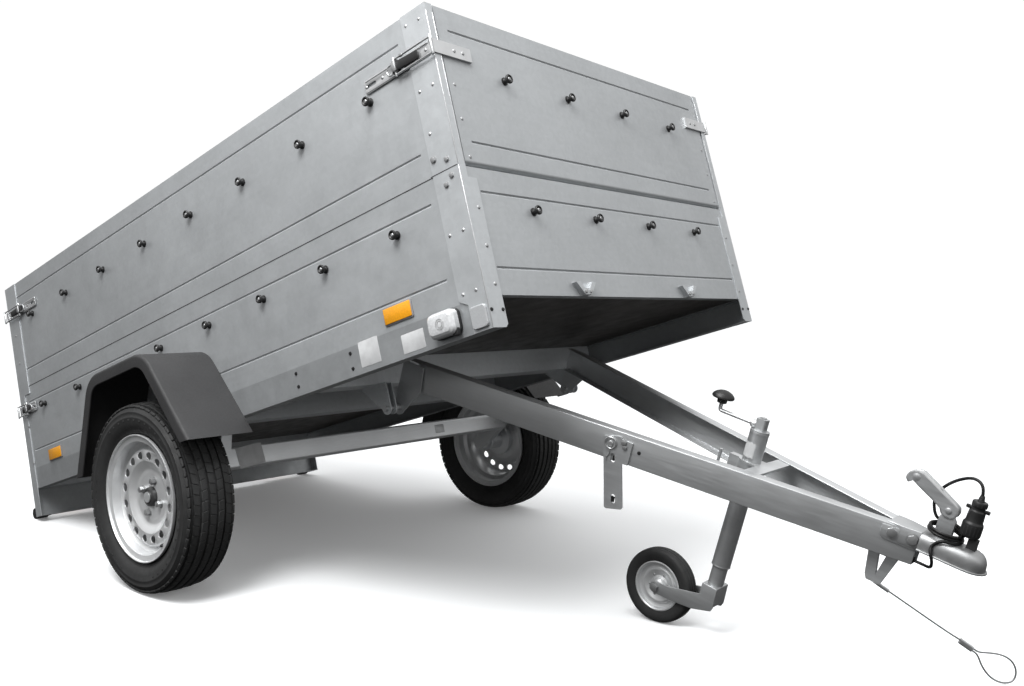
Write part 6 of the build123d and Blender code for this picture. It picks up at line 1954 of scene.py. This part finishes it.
# ---------------------------------------------------------------- studio
@dataclass
class Studio:
    """The pale floor, the soft lights and the camera."""

    lens: float = 33.24
    sensor: float = 36.0
    camera_place: tuple[float, float, float] = (2.13941, -2.20270, 0.87437)
    camera_turn: tuple[float, float, float, float] = (0.680069, 0.650484, 0.226470, 0.251172)
    camera_shift: tuple[float, float] = (0.0011, -0.001)
    floor_radius: float = 60.0
    backdrop_level: float = 1.02
    zenith: float = 1.15
    middle: float = 0.86
    horizon: float = 0.34
    nadir: float = 0.07
    # How far up from the nadir the sky's three middle stops lie
    stops: tuple[float, float, float] = (0.44, 0.52, 0.68)
    overhead: float = 190.0
    front: float = 10.0
    side: float = 72.0

    def floor(self) -> None:
        """Lay the floor."""
        disc = bmesh.new()
        bmesh.ops.create_circle(disc, cap_ends=True, radius=self.floor_radius, segments=96)
        mesh = bpy.data.meshes.new("studio_floor")
        disc.to_mesh(mesh)
        disc.free()
        mesh.materials.append(StudioFloor("studio_floor").material())
        floor = bpy.data.objects.new("studio_floor", mesh)
        bpy.context.collection.objects.link(floor)
        floor.visible_diffuse = False
        floor.visible_glossy = False

    def sky(self) -> None:
        """Light the room from above, paler overhead than at the horizon, before a white background."""
        world = bpy.data.worlds.new("studio")
        bpy.context.scene.world = world
        world.use_nodes = True
        nodes, links = world.node_tree.nodes, world.node_tree.links
        backdrop = nodes["Background"]
        backdrop.inputs["Color"].default_value = (1.0, 1.0, 1.0, 1.0)
        backdrop.inputs["Strength"].default_value = self.backdrop_level
        room = nodes.new("ShaderNodeBackground")
        split = nodes.new("ShaderNodeSeparateXYZ")
        links.new(nodes.new("ShaderNodeTexCoord").outputs["Generated"], split.inputs["Vector"])
        span = nodes.new("ShaderNodeMapRange")
        span.inputs["From Min"].default_value = -1.0
        links.new(split.outputs["Z"], span.inputs["Value"])
        shade = nodes.new("ShaderNodeValToRGB")
        links.new(span.outputs["Result"], shade.inputs["Fac"])
        stops = shade.color_ramp.elements
        stops[0].position, stops[0].color = 0.0, (*(self.nadir,) * 3, 1.0)
        stops[1].position, stops[1].color = 1.0, (*(self.zenith,) * 3, 1.0)
        below, level_with, above = self.stops
        for position, level in ((below, self.nadir * 1.5), (level_with, self.horizon), (above, self.middle)):
            stop = stops.new(position)
            stop.color = (*(level,) * 3, 1.0)
        links.new(shade.outputs["Color"], room.inputs["Color"])
        seen = nodes.new("ShaderNodeLightPath")
        mix = nodes.new("ShaderNodeMixShader")
        links.new(seen.outputs["Is Camera Ray"], mix.inputs["Fac"])
        links.new(room.outputs["Background"], mix.inputs[1])
        links.new(backdrop.outputs["Background"], mix.inputs[2])
        links.new(mix.outputs["Shader"], nodes["World Output"].inputs["Surface"])

    def lights(self) -> None:
        """Hang a large soft box overhead, a fill at the front and one at the side."""
        boxes = (
            ("overhead", (0.6, -1.6, 4.6), (0.0, 0.0, 0.6), 3.4, self.overhead),
            ("front_fill", (4.8, -0.6, 2.6), (0.6, 0.0, 0.6), 2.0, self.front),
            ("side_fill", (0.7, -2.3, 2.9), (0.3, -0.64, 1.2), 1.3, self.side),
        )
        for name, place, target, size, power in boxes:
            lamp = bpy.data.lights.new(name, "AREA")
            lamp.shape = "DISK"
            lamp.size = size
            lamp.energy = power
            holder = bpy.data.objects.new(name, lamp)
            holder.location = place
            holder.rotation_euler = (Vector(target) - Vector(place)).to_track_quat("-Z", "Y").to_euler()
            bpy.context.collection.objects.link(holder)

    def camera(self) -> None:
        """Set the camera up."""
        data = bpy.data.cameras.new("camera")
        data.lens, data.sensor_width = self.lens, self.sensor
        data.shift_x, data.shift_y = self.camera_shift
        data.clip_start, data.clip_end = 0.05, 200.0
        holder = bpy.data.objects.new("camera", data)
        holder.rotation_mode = "QUATERNION"
        holder.rotation_quaternion = self.camera_turn
        holder.location = self.camera_place
        bpy.context.collection.objects.link(holder)
        bpy.context.scene.camera = holder


def main() -> None:
    """Build the studio and every sub-assembly in turn."""
    logging.basicConfig(level=logging.INFO, format="%(message)s")
    bpy.context.scene.view_settings.view_transform = "Standard"
    studio = Studio()
    studio.floor()
    studio.sky()
    studio.lights()
    studio.camera()
    dress_nodes()
    PlugBody().build()
    ElectricCable().build()
    SafetyCable().build()
    paired = (kind(side) for kind in (RoadWheel, RimFace, Fender) for side in Side)
    assemblies = (*paired, RopeKnobs(), JockeyStand(), CouplingHandle(), CouplingShell(), CouplingCheeks(),
                  WheelHubs(), SeamShadowStrips(), StrapDressing(), Latches(), MarkerLamps(), Reflectors(),
                  TailLamps(), Labels(), EdgeBeadHighlights(), BED_FASTENERS, EXTENSION_FASTENERS, DRAWBAR_FASTENERS,
                  *ROUNDED_NODES)
    for assembly in assemblies:
        assembly.build()


if __name__ == "__main__":
    main()
